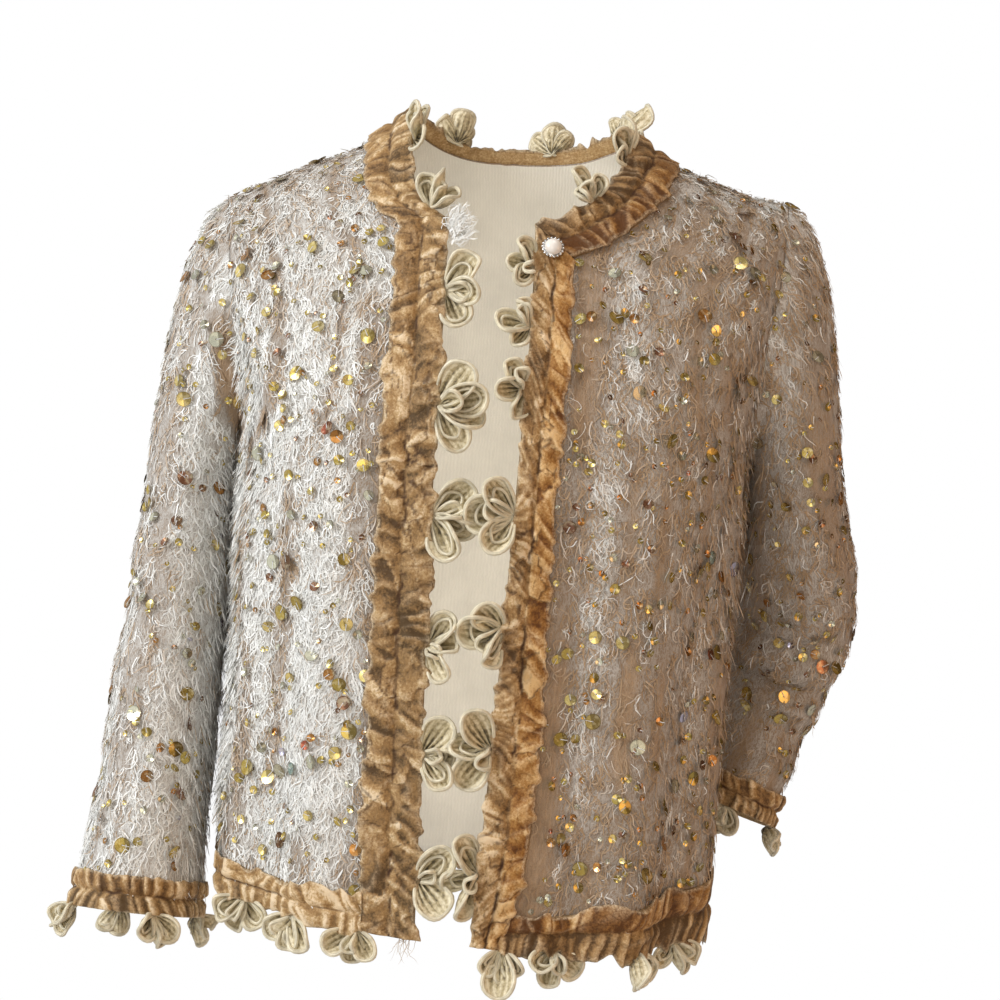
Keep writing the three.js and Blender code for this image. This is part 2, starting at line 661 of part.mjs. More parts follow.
// Heights of the ribbon's face across its width: two puffs with a stitched channel between.
const RIBBON_PROFILE = [
  { across: 0, height: RIBBON.edge },
  { across: 0.25, height: RIBBON.puff },
  { across: 0.5, height: RIBBON.stitch },
  { across: 0.75, height: RIBBON.puff },
  { across: 1, height: RIBBON.edge },
];

// How the gathers come and go along the ribbon, from about -1 to 1.
const gather = (station) => 0.6 * Math.sin(station * 1.9) + 0.4 * Math.sin(station * 3.1 + 1.7);

// place(station, across, height) gives a point of the ribbon; stations are in its own measure.
function ribbon(name, stations, place, loop = false) {
  const layer = (raised) =>
    stations.map((station, i) =>
      RIBBON_PROFILE.map(({ across, height }) => {
        const ruffled = across < 1 ? across : 1 + RIBBON.ruffle * gather(i + 5);
        const swell = 1 + RIBBON.swell * gather(i);
        return place(station, ruffled, RIBBON_SEAT + (raised ? height * swell : 0));
      }),
    );
  const [outer, inner] = [layer(true), layer(false)];
  if (!loop) return addPiece(name, wallBetween(outer, inner), "velvet");
  // A loop closes round its columns, so its rows and columns change places.
  const flip = (grid) => grid[0].map((_, c) => grid.map((row) => row[c]));
  return addPiece(name, wallBetween(flip(outer), flip(inner), true), "velvet");
}

// Stations from 0 to 1 that lie equally far apart along a curve.
function evenStations(count, pointAt) {
  const fine = spread(0, 1, 400);
  const lengths = [0];
  fine.slice(1).forEach((at, i) => {
    lengths.push(lengths[i] + pointAt(at).distanceTo(pointAt(fine[i])));
  });
  return spread(0, lengths.at(-1), count).map((length) => {
    const i = clamp(lengths.findIndex((l) => l >= length), 1, fine.length - 1);
    const share = (length - lengths[i - 1]) / (lengths[i] - lengths[i - 1]);
    return clamp(mix(fine[i - 1], fine[i], share), 0, 1);
  });
}

// Where a point at one place lies on the straight stretch between its two stations.
function onChord(stations, at, pointAt) {
  const past = stations.filter((station) => station <= at).length;
  const next = clamp(past, 1, stations.length - 1);
  const [from, to] = [stations[next - 1], stations[next]];
  const [a, b] = [pointAt(from), pointAt(to)];
  return { root: a.clone().lerp(b, (at - from) / (to - from)), along: b.sub(a).normalize() };
}

const hemWidthAt = (turn) => read(RIBBON_WIDTH.hem, "place", "width", turn);
const frontWidthAt = (side, drop) => read(RIBBON_WIDTH[`front_${side}`], "place", "width", drop);

function frontRibbon(side) {
  const sign = signOf(side);
  const { inZ, outZ } = NECK_MITRE[side];
  const place = (along, across, height) => {
    const start = read(OPENING, "drop", side, 0.5) + sign * across * frontWidthAt(side, 0.5);
    const drop = mix(2, dropAtZ(start, mix(inZ, outZ, across)), along);
    const x = read(OPENING, "drop", side, drop) + sign * across * frontWidthAt(side, drop);
    return bodyPointOut(turnAtX(x, drop), drop, height);
  };
  ribbon(`velvet_front_${side}`, spread(0, 1, RIBBON_STEPS.front), place);
}

const neckPoint = (along, across, height) => {
  const { turn, drop } = neckPlace(along, across);
  return bodyPointOut(turn, drop, height);
};
const neckStations = evenStations(RIBBON_STEPS.neck, (at) => neckPoint(at, 0.5, 0));

function neckRibbon() {
  ribbon("velvet_neck", neckStations, (along, across, height) =>
    neckPoint(along, across, height + NECK_RAISE),
  );
}

// Where the hem ribbon ends, beside a front ribbon.
function hemEndTurn(side, drop) {
  const width = frontWidthAt(side, drop) + MITRE_GAP;
  return turnAtX(read(OPENING, "drop", side, drop) + signOf(side) * width, drop);
}

// The hem ribbon has a station at each column of the cloth, and one at each of its ends.
const hemStations = [
  hemEndTurn("left", 2),
  ...frontTurns("left", 2).slice(2),
  ...backLaterals()
    .reverse()
    .slice(1)
    .map((lateral) => 180 - 90 * lateral),
  ...frontTurns("right", 2)
    .reverse()
    .slice(1, -3)
    .map((turn) => 360 + turn),
  360 + hemEndTurn("right", 2),
];

function hemRibbon() {
  const place = (station, across, height) => {
    const drop = 2 - (hemWidthAt(station) * across) / (UNDERARM_Z - HEM_Z);
    let turn = station;
    if (station === hemStations[0]) turn = hemEndTurn("left", drop);
    if (station === hemStations.at(-1)) turn = hemEndTurn("right", drop);
    return bodyPointOut(turn, drop, height);
  };
  ribbon("velvet_hem", hemStations, place);
}

function cuffRibbon(side) {
  const share = CUFF_RIBBON / armLength(side);
  const place = (round, across, height) => armPoint(side, 1 - share * across, round, height);
  ribbon(`velvet_cuff_${side}`, spread(0, 1, SLEEVE_GRID.round).slice(0, -1), place, true);
}

// ---------------------------------------------------------------- flowers

// The flower's outline in its own plane: the root behind the edge, the petals fanned beyond it.
function flowerShape({ petals, reach, wing }) {
  const each = FLOWER.fan / petals;
  const half = FLOWER.rootWidth / 2;
  const shape = new THREE.Shape();
  shape.moveTo(half, -FLOWER.rootLength);
  shape.lineTo(half, 0);
  for (let i = 0; i < petals; i++) {
    const swing = each * (i + 0.5) - FLOWER.fan / 2; // 0 points straight out
    const sideways = Math.abs(swing) / (FLOWER.fan / 2 - each / 2);
    const length = mix(reach, wing / Math.sin(FLOWER.tilt * DEG), sideways);
    for (const { round, out } of i < petals - 1 ? PETAL.slice(0, -1) : PETAL) {
      const angle = (90 + swing + round * each) * DEG;
      shape.lineTo(Math.cos(angle) * length * out, Math.sin(angle) * length * out);
    }
  }
  shape.lineTo(-half, 0);
  shape.lineTo(-half, -FLOWER.rootLength);
  return shape;
}

// root: a point of the finished edge, along: the way the edge runs, away: the way the petals
// point, out: roughly the way off the cloth.
function flower(name, spec, { root, along, away, out }) {
  const geometry = new THREE.ExtrudeGeometry(flowerShape(spec), {
    depth: FLOWER.thick,
    bevelEnabled: false,
  });
  const rise = spec.lift > 0 ? FLOWER_RISE.lifted : FLOWER_RISE.level;
  geometry.translate(0, 0, rise - FLOWER.thick);
  const piece = addPiece(name, geometry, "braid");
  const straight = away.clone().addScaledVector(along, -away.dot(along)).normalize();
  const side = along.clone();
  if (side.clone().cross(straight).dot(out) < 0) side.negate();
  const upright = side.clone().cross(straight);
  piece.quaternion.setFromRotationMatrix(new THREE.Matrix4().makeBasis(side, straight, upright));
  piece.rotateX((spec.lift ?? 0) * DEG);
  piece.rotateZ((spec.lean ?? 0) * DEG);
  piece.position.copy(root).addScaledVector(straight, FLOWER.stand);
}

function frontFlowers(side) {
  FLOWERS[`front_${side}`].forEach((spec, i) => {
    const drop = dropAtZ(read(OPENING, "drop", side, 1), spec.z);
    const turn = turnAtX(read(OPENING, "drop", side, drop), drop);
    const { down, out } = bodyAxes(turn, drop);
    const away = out.clone().cross(down).normalize();
    if (away.x * signOf(side) > 0) away.negate();
    flower(`flower_front_${side}_${i + 1}`, spec, {
      root: bodyPoint(turn, drop),
      along: down,
      away,
      out,
    });
  });
}

function neckFlowers() {
  FLOWERS.neck.forEach((spec, i) => {
    const edge = onChord(neckStations, spec.at, (at) => neckPoint(at, 0, NECK_RAISE));
    const inside = onChord(neckStations, spec.at, (at) => neckPoint(at, 0.25, NECK_RAISE));
    const away = edge.root.clone().sub(inside.root);
    const { turn, drop } = neckPlace(spec.at, 0);
    flower(`flower_neck_${i + 1}`, spec, { ...edge, away, out: bodyAxes(turn, drop).out });
  });
}

function hemFlowers() {
  FLOWERS.hem.forEach((spec, i) => {
    const edge = onChord(hemStations, spec.turn, (turn) => bodyPoint(turn, 2));
    const above = onChord(hemStations, spec.turn, (turn) => bodyPoint(turn, 1.98));
    const away = edge.root.clone().sub(above.root);
    const { out } = bodyAxes(spec.turn, 2);
    flower(`flower_hem_${i + 1}`, spec, { ...edge, away, out });
  });
}

function cuffFlowers(side) {
  const { count, start } = FLOWERS.cuff;
  const { axis, centre } = armSection(side, 1);
  const stations = spread(0, 1, SLEEVE_GRID.round);
  for (let i = 0; i < count; i++) {
    const edge = onChord(stations, start[side] + i / count, (round) => armPoint(side, 1, round, 0));
    const out = edge.root.clone().sub(centre);
    flower(`flower_cuff_${side}_${i + 1}`, FLOWERS.cuff, { ...edge, away: axis, out });
  }
}

// ---------------------------------------------------------------- button

function turned(profile, segments) {
  const points = profile.map(([r, z]) => new THREE.Vector2(r, z));
  return new THREE.LatheGeometry(points, segments).rotateX(90 * DEG);
}

function button() {
  const drop = dropAtZ(BUTTON.x, BUTTON.z);
  const turn = turnAtX(BUTTON.x, drop);
  const { out } = bodyAxes(turn, drop);
  const seat = bodyPoint(turn, drop).addScaledVector(out, RIBBON_SEAT + BUTTON.seat);
  const { radius, cupHeight, pearlRadius, pearlHeight } = BUTTON;
  const cup = [
    [0, 0],
    [radius * 0.8, 0],
    [radius, cupHeight * 0.6],
    [radius * 0.9, cupHeight],
    [0, cupHeight],
  ];
  const pearlBase = cupHeight + SEAM_GAP;
  const dome = spread(0, 90, 4).map((angle) => [
    pearlRadius * Math.cos(angle * DEG),
    pearlBase + pearlHeight * Math.sin(angle * DEG),
  ]);
  dome[dome.length - 1][0] = 0;
  for (const [name, profile, kind] of [
    ["button_cup", cup, "metal"],
    ["button_pearl", [[0, pearlBase], ...dome], "pearl"],
  ]) {
    const piece = addPiece(name, turned(profile, BUTTON_SIDES), kind);
    piece.quaternion.setFromUnitVectors(new THREE.Vector3(0, 0, 1), out);
    piece.position.copy(seat);
  }
}

// ---------------------------------------------------------------- the jacket

for (const side of ["right", "left"]) {
  frontPanel(side);
  sleeve(side);
  frontRibbon(side);
  cuffRibbon(side);
  frontFlowers(side);
  cuffFlowers(side);
}
backPanel();
neckRibbon();
hemRibbon();
neckFlowers();
hemFlowers();
button();

export default jacket;
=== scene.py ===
"""The looks of a cropped evening jacket, built round its fixed frame.

Five cloth panels carry curly fringe and sequins, gathered velvet ribbon edges them, looped-braid
flowers stand out past the ribbon, and a pearl button sits on the left front. Lengths are in
millimetres until a mesh is made. turn is degrees round the body: 0 is the middle of the front, 90
the wearer's left. drop runs down it: 0 is the shoulder seam, 1 the underarm, 2 the hem.
"""

import math

import bpy
import numpy as np
from mathutils import Matrix, Vector


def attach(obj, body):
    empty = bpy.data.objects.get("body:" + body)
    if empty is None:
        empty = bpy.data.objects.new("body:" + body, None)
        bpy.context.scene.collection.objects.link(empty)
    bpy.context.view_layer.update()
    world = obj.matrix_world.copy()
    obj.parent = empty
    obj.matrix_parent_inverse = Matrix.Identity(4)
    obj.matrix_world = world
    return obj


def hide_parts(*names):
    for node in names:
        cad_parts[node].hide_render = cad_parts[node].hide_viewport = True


bl_info = {
    "name": "Sequin Blazer",
    "version": (1, 0, 0),
    "blender": (4, 5, 0),
    "location": "3D View > Sidebar > Blazer",
    "description": "Builds a fringed, sequinned evening jacket with velvet ribbon and braid flowers",
    "category": "Object",
}

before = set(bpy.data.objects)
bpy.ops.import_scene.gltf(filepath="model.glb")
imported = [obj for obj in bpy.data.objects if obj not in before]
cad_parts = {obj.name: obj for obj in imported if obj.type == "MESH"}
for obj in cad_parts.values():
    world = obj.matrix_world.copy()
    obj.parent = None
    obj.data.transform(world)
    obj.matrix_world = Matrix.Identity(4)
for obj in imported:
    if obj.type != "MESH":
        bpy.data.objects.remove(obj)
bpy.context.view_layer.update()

MM = 0.001
SIDES = {"right": -1, "left": 1}


def table(columns, *rows):
    """Rows of numbers as one array for each named column."""
    return {name: np.array([row[i] for row in rows], float) for i, name in enumerate(columns.split())}


# ---------------- the jacket's sizes (mm)

CLOTH_WALL = 2
MM_A_DEGREE = 2.6  # round the body, on average
NECK_FALL = 120  # mm for one drop near the neckline
RIBBON_SEAT = 0.9
NECK_RAISE = 0.2
NECK_LAP = 3.5  # how far a front's ribbon runs up under the neck's
MITRE_LAP = 1.5  # the ribbons lap over each other by this much at the corners
UNDERARM_Z = -225
HEM_Z = -537
TURN_EVEN = 0.77
FRONT_DIP = 9
TUCK = 8
SWAY_START, SWAY_SHIFT, SWAY_TILT, SWAY_EASE = -60, -36, -0.115, 0.15
SHOULDER_CROWD = 1.4
BACK_YOKE = 0.6

TORSO = table(
    "drop half_width front back square",
    (0.0, 200, 108, 94, 3.2),
    (0.5, 197, 117, 103, 3.2),
    (0.8, 184, 125, 106, 2.9),
    (1.0, 175, 129, 104, 2.7),
    (1.2, 174, 128, 100, 2.6),
    (1.5, 171, 121, 98, 2.5),
    (1.8, 170, 120, 105, 2.45),
    (2.0, 165, 120, 110, 2.4),
)
RIDGE = table(
    "x z",
    (-200, -53),
    (-172, -42),
    (-140, -29),
    (-98, -14),
    (-60, 9),
    (10, 18),
    (84, -10),
    (112, -28),
    (140, -40),
    (170, -51),
    (200, -57),
)
ARMHOLE = table(
    "drop front back",
    (0.0, 0.985, 0.985),
    (0.25, 0.966, 0.972),
    (0.5, 0.952, 0.96),
    (0.75, 0.962, 0.966),
    (0.92, 0.986, 0.988),
    (1.0, 1.0, 1.0),
)
OPENING = table(
    "drop right left",
    (0.5, -41, 17),
    (0.8, -38, 18),
    (1.0, -37, 17),
    (1.5, -31, 15),
    (2.0, -24, 12),
)
# face is -1 on the front, 0 on the shoulder seam and 1 on the back.
NECKLINE = table(
    "face in_x in_z out_x out_z",
    (-1, -42, -79, -71, -81),
    (-1, -56, -66, -85, -72),
    (-1, -63, -46, -93, -56),
    (-1, -64, -22, -95, -36),
    (0, -62, 0, -93, 0),
    (1, -54, 2, -80, -26),
    (1, -28, -8, -40, -39),
    (1, 12, -12, 12, -44),
    (1, 50, -12, 64, -43),
    (1, 76, -8, 100, -40),
    (0, 84, 0, 115, 0),
    (-1, 80, -30, 112, -44),
    (-1, 66, -54, 98, -68),
    (-1, 52, -68, 79, -86),
    (-1, 35, -78, 58, -99),
    (-1, 17, -84, 40, -107),
)
NECK_MIDDLE_ROW = 7
RIDGE_ROW = {"right": 4, "left": 10}
NECK_MITRE = {"right": (-82, -84), "left": (-88, -112)}
NECK_CORNER = {"right": -80, "left": -90}
NECK_TUCK = 0.25
FOLDS = table(
    "turn width depth top",
    (-79, 9, -5, 1.0),
    (-66, 7, 6, 1.1),
    (-52, 6, -4, 1.3),
    (-39, 6, 4, 1.2),
    (33, 6, -5, 1.2),
    (45, 7, 7, 0.8),
    (60, 7, -5, 1.1),
    (76, 8, 5, 1.1),
    (108, 9, -5, 1.2),
    (127, 9, 7, 1.0),
    (149, 8, -5, 1.2),
    (171, 8, 5, 1.3),
    (-166, 8, -6, 1.1),
    (-143, 9, 7, 1.0),
    (-112, 9, -4, 1.2),
)
SLEEVES = {
    "right": table(
        "x y z across deep turn",
        (-222, 2, -258, 31, 56, 0),
        (-229, -3, -332, 34, 57, 0),
        (-238, -13, -402, 36, 57, 0),
        (-246, -25, -472, 38, 55, 0),
        (-254, -37, -541, 42, 53, 0),
    ),
    "left": table(
        "x y z across deep turn",
        (199, 8, -233, 33, 57, 0),
        (205, 36, -288, 38, 56, 4),
        (211, 76, -341, 43, 54, 12),
        (198, 102, -390, 40, 53, 20),
        (176, 104, -440, 35, 53, 28),
        (154, 97, -489, 32, 54, 34),
    ),
}
ARMHOLE_GAP = 0.7
CAP_TOP_FALL, CAP_UNDER_FALL, CAP_REACH, CAP_ARRIVE = 26, 68, 118, 105
CUFF_RIBBON = 23
RIBBON_WIDTH = {
    "front_right": table("place width", (0.5, 29), (0.8, 34), (1.5, 36), (2, 35)),
    "front_left": table("place width", (0.5, 26), (1.2, 26), (1.6, 30), (1.85, 29), (2, 17)),
    "hem": table(
        "place width",
        (0, 19),
        (30, 23),
        (55, 31),
        (85, 37),
        (130, 29),
        (230, 24),
        (290, 21),
        (360, 22),
    ),
}
HEM_MIDDLE = (116, 133, 152, 171, 190, 209, 229, 249)  # round the back, with sizes that alternate
FLOWER_FAN, FLOWER_TILT, FLOWER_STAND = 150, 62, 0.6


def flower_rows(*rows):
    return table("place petals reach wing lean lift", *rows)


FLOWERS = {
    "front_right": flower_rows(
        (-127, 3, 28, 25, -10, 2),
        (-202, 4, 32, 29, -8, -3),
        (-272, 3, 29, 28, -6, -4),
        (-354, 3, 21, 23, 0, -4),
        (-422, 3, 21, 25, 4, -6),
        (-500, 3, 19, 27, 0, -7),
    ),
    "front_left": flower_rows(
        (-111, 3, 18, 17, 4, 4),
        (-150, 3, 23, 15, 6, 2),
        (-190, 3, 24, 19, 8, 7),
        (-270, 3, 31, 27, 0, 7),
        (-341, 3, 31, 24, 2, 8),
        (-415, 3, 27, 27, 0, 10),
        (-494, 3, 25, 27, 2, 12),
    ),
    "neck": flower_rows(
        (0.045, 3, 27, 19, 10, 12),
        (0.205, 3, 27, 21, 0, 26),
        (0.38, 3, 24, 18, 0, 30),
        (0.5, 3, 24, 18, 0, 30),
        (0.61, 3, 30, 15, 0, 58),
        (0.735, 4, 30, 20, 0, 36),
        (0.85, 3, 25, 15, 0, 20),
    ),
    "hem": flower_rows(
        (14, 3, 31, 17, 0, 0),
        (29, 3, 22, 20, 0, 0),
        (49, 3, 22, 21, 0, 0),
        (65, 3, 21, 18, 0, 0),
        (98, 3, 22, 20, 0, 0),
        *[(at, 3, 22 - i % 2, 21 - i % 2, 0, 0) for i, at in enumerate(HEM_MIDDLE)],
        (301, 3, 21, 19, 0, 0),
        (316, 3, 22, 22, 0, 0),
        (333, 3, 21, 20, 0, 0),
    ),
    "cuff_right": flower_rows(*[(0.075 + i / 4, 3, 21, 19, 0, 0) for i in range(4)]),
    "cuff_left": flower_rows(*[(0.125 + i / 4, 3, 21, 19, 0, 0) for i in range(4)]),
}
BUTTON_X, BUTTON_Z, BUTTON_SEAT = 29, -102, 5.8


# ---------------- small sums


def unit(vectors):
    return vectors / np.maximum(np.linalg.norm(vectors, axis=-1, keepdims=True), 1e-9)


def mix(a, b, share):
    return a + (b - a) * share


def floats(*values):
    """The values as arrays of one common shape."""
    return np.broadcast_arrays(*(np.asarray(v, float) for v in values))


def steps_of(points, axis=0):
    """The distances between neighbouring points along an axis of a path or a grid."""
    return np.linalg.norm(np.diff(points, axis=axis), axis=-1)


def swell(away, width):
    """1 at a place, and smoothly less away from it."""
    return np.exp(-((away / width) ** 2))


def half_turned(degrees):
    """The angle between -180 and 180."""
    return (degrees + 540) % 360 - 180


def turned_to(directions, outward):
    """The directions, each turned round where it points against the outward one."""
    return np.where((directions * outward).sum(-1, keepdims=True) < 0, -directions, directions)


def read(rows, key, column, at):
    """One column at any key, on a smooth curve through its rows."""
    keys, values = (np.arange(len(rows[column])) if key == "row" else rows[key]), rows[column]
    at = np.asarray(at, float)
    before = np.maximum(np.arange(len(keys)) - 1, 0)
    after = np.minimum(np.arange(len(keys)) + 1, len(keys) - 1)
    slopes = (values[after] - values[before]) / (keys[after] - keys[before])
    i = np.searchsorted(keys[1:-1], at, side="left")
    span = keys[i + 1] - keys[i]
    t = np.clip((at - keys[i]) / span, 0, 1)
    ease = t * t * (3 - 2 * t)
    bow = span * (t * (1 - t) ** 2 * slopes[i] - t * t * (1 - t) * slopes[i + 1])
    return mix(values[i], values[i + 1], ease) + bow


class Drift:
    """Smooth seeded noise from -1 to 1 over a plane, with cells one unit across."""

    def __init__(self, seed, size=256):
        self.size = size
        self.grid = np.random.default_rng(seed).uniform(-1, 1, (size, size))

    def __call__(self, x, y=0.0):
        x, y = floats(x, y)
        i, j = np.floor(x).astype(int), np.floor(y).astype(int)
        u, v = x - i, y - j
        u, v = u * u * (3 - 2 * u), v * v * (3 - 2 * v)

        def corner(a, b):
            return self.grid[(i + a) % self.size, (j + b) % self.size]

        return mix(mix(corner(0, 0), corner(1, 0), u), mix(corner(0, 1), corner(1, 1), u), v)


# ---------------- the body's surface


def torso(column, drop):
    return read(TORSO, "drop", column, drop)


def edge_x(side, drop):
    """Where a front's open edge lies, under its ribbon."""
    return read(OPENING, "drop", side, drop)


def turn_at_x(x, drop):
    square = torso("square", drop)
    share = np.clip(np.abs(x) / torso("half_width", drop), 0, 1)
    facing = (1 - share**square) ** (1 / square)
    return np.sign(x) * np.degrees(np.arctan2(share, facing * TURN_EVEN))


def drop_at_z(x, z):
    ridge = read(RIDGE, "x", "z", x)
    above = np.degrees(np.arccos(np.clip(1 - (ridge - z) / (ridge - UNDERARM_Z), -1, 1))) / 90
    return np.where(z < UNDERARM_Z, 1 + (z - UNDERARM_Z) / (HEM_Z - UNDERARM_Z), above)


def fold_at(turn, drop):
    total = 0
    for at, width, depth, top in zip(*FOLDS.values()):
        away = half_turned(turn - at) / width
        grown = np.clip((drop - top) / (2 - top), 0, 1)
        total = total + depth * np.exp(-away * away) * grown**0.8
    return total


# Soft creases pressed into the body: where, how long and wide, how far they lean, and how deep.
BODY_CREASES = table(
    "turn drop width height lean depth",
    (-66, 0.78, 5, 0.16, 40, -3),
    (-58, 0.86, 5, 0.2, 34, 2.5),
    (-72, 0.98, 4, 0.16, 30, -3.5),
    (-40, 1.15, 4, 0.34, 8, 1.8),
    (-28, 1.4, 4, 0.4, -5, -1.6),
    (-54, 1.5, 4, 0.3, 6, -2.2),
    (62, 0.8, 5, 0.18, -42, -3),
    (55, 0.9, 5, 0.2, -34, 2.5),
    (70, 1.05, 5, 0.2, -26, -3.5),
    (40, 1.2, 4, 0.4, -6, 2),
    (26, 1.45, 4, 0.4, 4, -2),
    (58, 1.5, 4, 0.35, -4, -2.4),
    (118, 0.85, 5, 0.2, 35, -3),
    (-120, 0.85, 5, 0.2, -35, -3),
    (150, 1.2, 5, 0.4, 10, 2),
    (-150, 1.25, 5, 0.4, -8, 2),
    (175, 0.55, 12, 0.1, 0, -2.5),
    (-165, 1.5, 5, 0.4, 6, -2),
    (140, 1.6, 5, 0.35, -6, -2),
)


def crease_at(turn, drop):
    total = 0
    for at, level, width, height, lean, depth in zip(*BODY_CREASES.values()):
        down = (drop - level) / height
        away = half_turned(turn - at - lean * (drop - level)) / width
        total = total + depth * np.exp(-away * away - down * down)
    return total


def body_point(turn, drop):
    """Points of the cloth's outer face. A drop below 0 is past the shoulder seam, on the other face."""
    turn, drop = floats(turn, drop)
    turn = np.where(drop < 0, np.where(turn < 0, -1, 1) * (180 - np.abs(turn)), turn)
    drop = np.abs(drop)
    s, c = np.sin(np.radians(turn)), np.cos(np.radians(turn)) / TURN_EVEN
    depth = np.where(c >= 0, torso("front", drop), torso("back", drop))
    square = torso("square", drop)
    reach = (np.abs(s) ** square + np.abs(c) ** square) ** (-1 / square)
    arch = np.minimum(drop, 1) * math.pi / 2
    bulge = fold_at(turn, drop) + crease_at(turn, drop)
    x = torso("half_width", drop) * reach * s
    y = -depth * reach * c * np.sin(arch)
    ridge = read(RIDGE, "x", "z", x)
    dip = FRONT_DIP * np.clip(reach * c, 0, 1) ** 2
    above = ridge - (ridge - UNDERARM_Z) * (1 - np.cos(arch))
    below = UNDERARM_Z + (drop - 1) * (HEM_Z - dip - UNDERARM_Z)
    z = np.where(drop <= 1, above, below)
    return swayed(np.stack([x + bulge * reach * s, y - bulge * reach * c, z], -1))


def swayed(points):
    t = np.maximum(0, (SWAY_START - points[..., 2]) / (SWAY_START - HEM_Z))
    amount = t * t / (t + SWAY_EASE) * (1 + SWAY_EASE)
    moved = points.copy()
    moved[..., 2] += SWAY_TILT * points[..., 0] * amount
    moved[..., 0] += SWAY_SHIFT * amount
    return moved


def body_axes(turn, drop):
    """Unit vectors down the surface and out of it."""
    step_turn, step_drop = 0.2, 0.002
    across = body_point(turn + step_turn, drop) - body_point(turn - step_turn, drop)
    down = body_point(turn, drop + step_drop) - body_point(turn, drop - step_drop)
    out = unit(-np.cross(across, down))
    middle = body_point(turn, drop) - np.array([0, 0, UNDERARM_Z])
    return unit(down), turned_to(out, middle)


def body_out(turn, drop, height=0.0):
    turn, drop, height = np.broadcast_arrays(turn, drop, height)
    return body_point(turn, drop) + body_axes(turn, drop)[1] * height[..., None]


# ---------------- the sleeves' surface


def outer_turn(face, drop):
    share = np.where(drop >= 1, 1, read(ARMHOLE, "drop", face, drop))
    return turn_at_x(share * torso("half_width", drop), drop)


def armhole_point(side, around):
    """The armhole as a loop: 0 at the shoulder, 0.25 in front, 0.5 under the arm, 0.75 behind."""
    around = np.asarray(around, float) % 1
    front = around <= 0.5
    drop = np.where(front, around * 2, (1 - around) * 2)
    turn = np.where(front, outer_turn("front", drop), 180 - outer_turn("back", drop))
    return body_point(SIDES[side] * turn, drop)


def arm_section(side, along):
    """The sleeve section's centre, axis, two cross axes and half sizes."""
    rows = SLEEVES[side]
    last = len(rows["x"]) - 1
    at = np.asarray(along, float) * last

    def centre(where):
        where = np.clip(where, 0, last)
        return np.stack([read(rows, "row", c, where) for c in "xyz"], -1)

    axis = unit(centre(at + 0.05) - centre(at - 0.05))
    swing = np.radians(read(rows, "row", "turn", at))
    deep_axis = np.stack([-np.sin(swing), np.cos(swing), 0 * swing], -1)
    deep_axis = unit(deep_axis - (deep_axis * axis).sum(-1, keepdims=True) * axis)
    across_axis = unit(np.cross(deep_axis, axis))
    across_axis = np.where(across_axis[..., :1] < 0, -across_axis, across_axis)
    across, deep = (read(rows, "row", c, at) for c in ("across", "deep"))
    return centre(at), axis, across_axis, deep_axis, across, deep


def arm_point(side, along, around, height=0.0):
    """Points round the arm: around 0 faces away from the body, 0.25 the front."""
    along, around, height = floats(along, around, height)
    centre, _, across_axis, deep_axis, across, deep = arm_section(side, along)
    angle = around * math.tau
    sideways = (SIDES[side] * np.cos(angle) * (across + height))[..., None]
    return centre + across_axis * sideways - deep_axis * (np.sin(angle) * (deep + height))[..., None]


def cap_point(side, share, around, height=0.0):
    """Points of the sleeve's cap, from the armhole at share 0 to the top of the arm at 1."""
    share, around, height = floats(share, around, height)
    start, end = armhole_point(side, around), arm_point(side, 0, around)
    under = (1 - np.cos(around * math.tau)) / 2
    fall = np.radians(mix(CAP_TOP_FALL, CAP_UNDER_FALL, under))
    length = mix(1, 0.35, under)[..., None]
    leave = np.stack([SIDES[side] * np.cos(fall), 0 * fall, -np.sin(fall)], -1)
    t, u = share[..., None], 1 - share[..., None]
    axis = arm_section(side, 0.0)[1]
    point = (start + leave * ARMHOLE_GAP) * (u * u * (1 + 2 * t)) + end * (t * t * (3 - 2 * t))
    point = point + leave * (CAP_REACH * length * t * u * u) - axis * (CAP_ARRIVE * length * t * t * u)
    if not np.any(height):
        return point
    middle = sum(cap_point(side, share, 0 * around + i / 8) for i in range(8)) / 8
    return point - unit(middle - point) * height[..., None]


# Creases in the sleeves: their place along and round, length, width, depth and how far they lean.
SLEEVE_CREASES = {
    "right": table(
        "along round length width depth lean",
        (0.06, 0.2, 0.05, 0.1, -3, 0.3),
        (0.16, 0.14, 0.05, 0.12, 2.5, 0.25),
        (0.3, 0.3, 0.05, 0.14, -3, 0.15),
        (0.42, 0.12, 0.05, 0.12, 2.5, -0.15),
        (0.55, 0.3, 0.04, 0.14, -3, 0.12),
        (0.68, 0.08, 0.05, 0.16, -2.5, 0.1),
        (0.8, 0.28, 0.05, 0.12, 2, 0.1),
        (0.4, 0.72, 0.06, 0.16, -3.5, 0.1),
        (0.62, 0.7, 0.05, 0.15, 3, 0.1),
    ),
    "left": table(
        "along round length width depth lean",
        (0.05, 0.22, 0.06, 0.08, -4, -0.3),
        (0.2, 0.14, 0.06, 0.08, 3, -0.3),
        (0.34, 0.12, 0.04, 0.12, -3, 0.2),
        (0.74, 0.24, 0.04, 0.12, -5, 0.1),
        (0.84, 0.2, 0.04, 0.12, 3, 0.1),
        (0.5, 0.72, 0.05, 0.16, -3, 0.1),
        (0.3, 0.8, 0.06, 0.14, 3, 0.1),
        (0.4, 0.3, 0.03, 0.16, -6, 0),
        (0.47, 0.3, 0.035, 0.15, 6, 0),
        (0.56, 0.34, 0.03, 0.17, -7, 0),
        (0.66, 0.3, 0.035, 0.15, 5, 0),
    ),
}


def sleeve_crease(side, along, around):
    total = 0
    for at, place, length, width, depth, lean in zip(*SLEEVE_CREASES[side].values()):
        b = (((around - place + 1.5) % 1) - 0.5) / width
        a = (along - at - lean * b * width) / length
        total = total + depth * np.exp(-a * a - b * b)
    return total


CAP_SHARE = 0.32  # of a sleeve's whole length, where 0 is the armhole and 1 the cuff


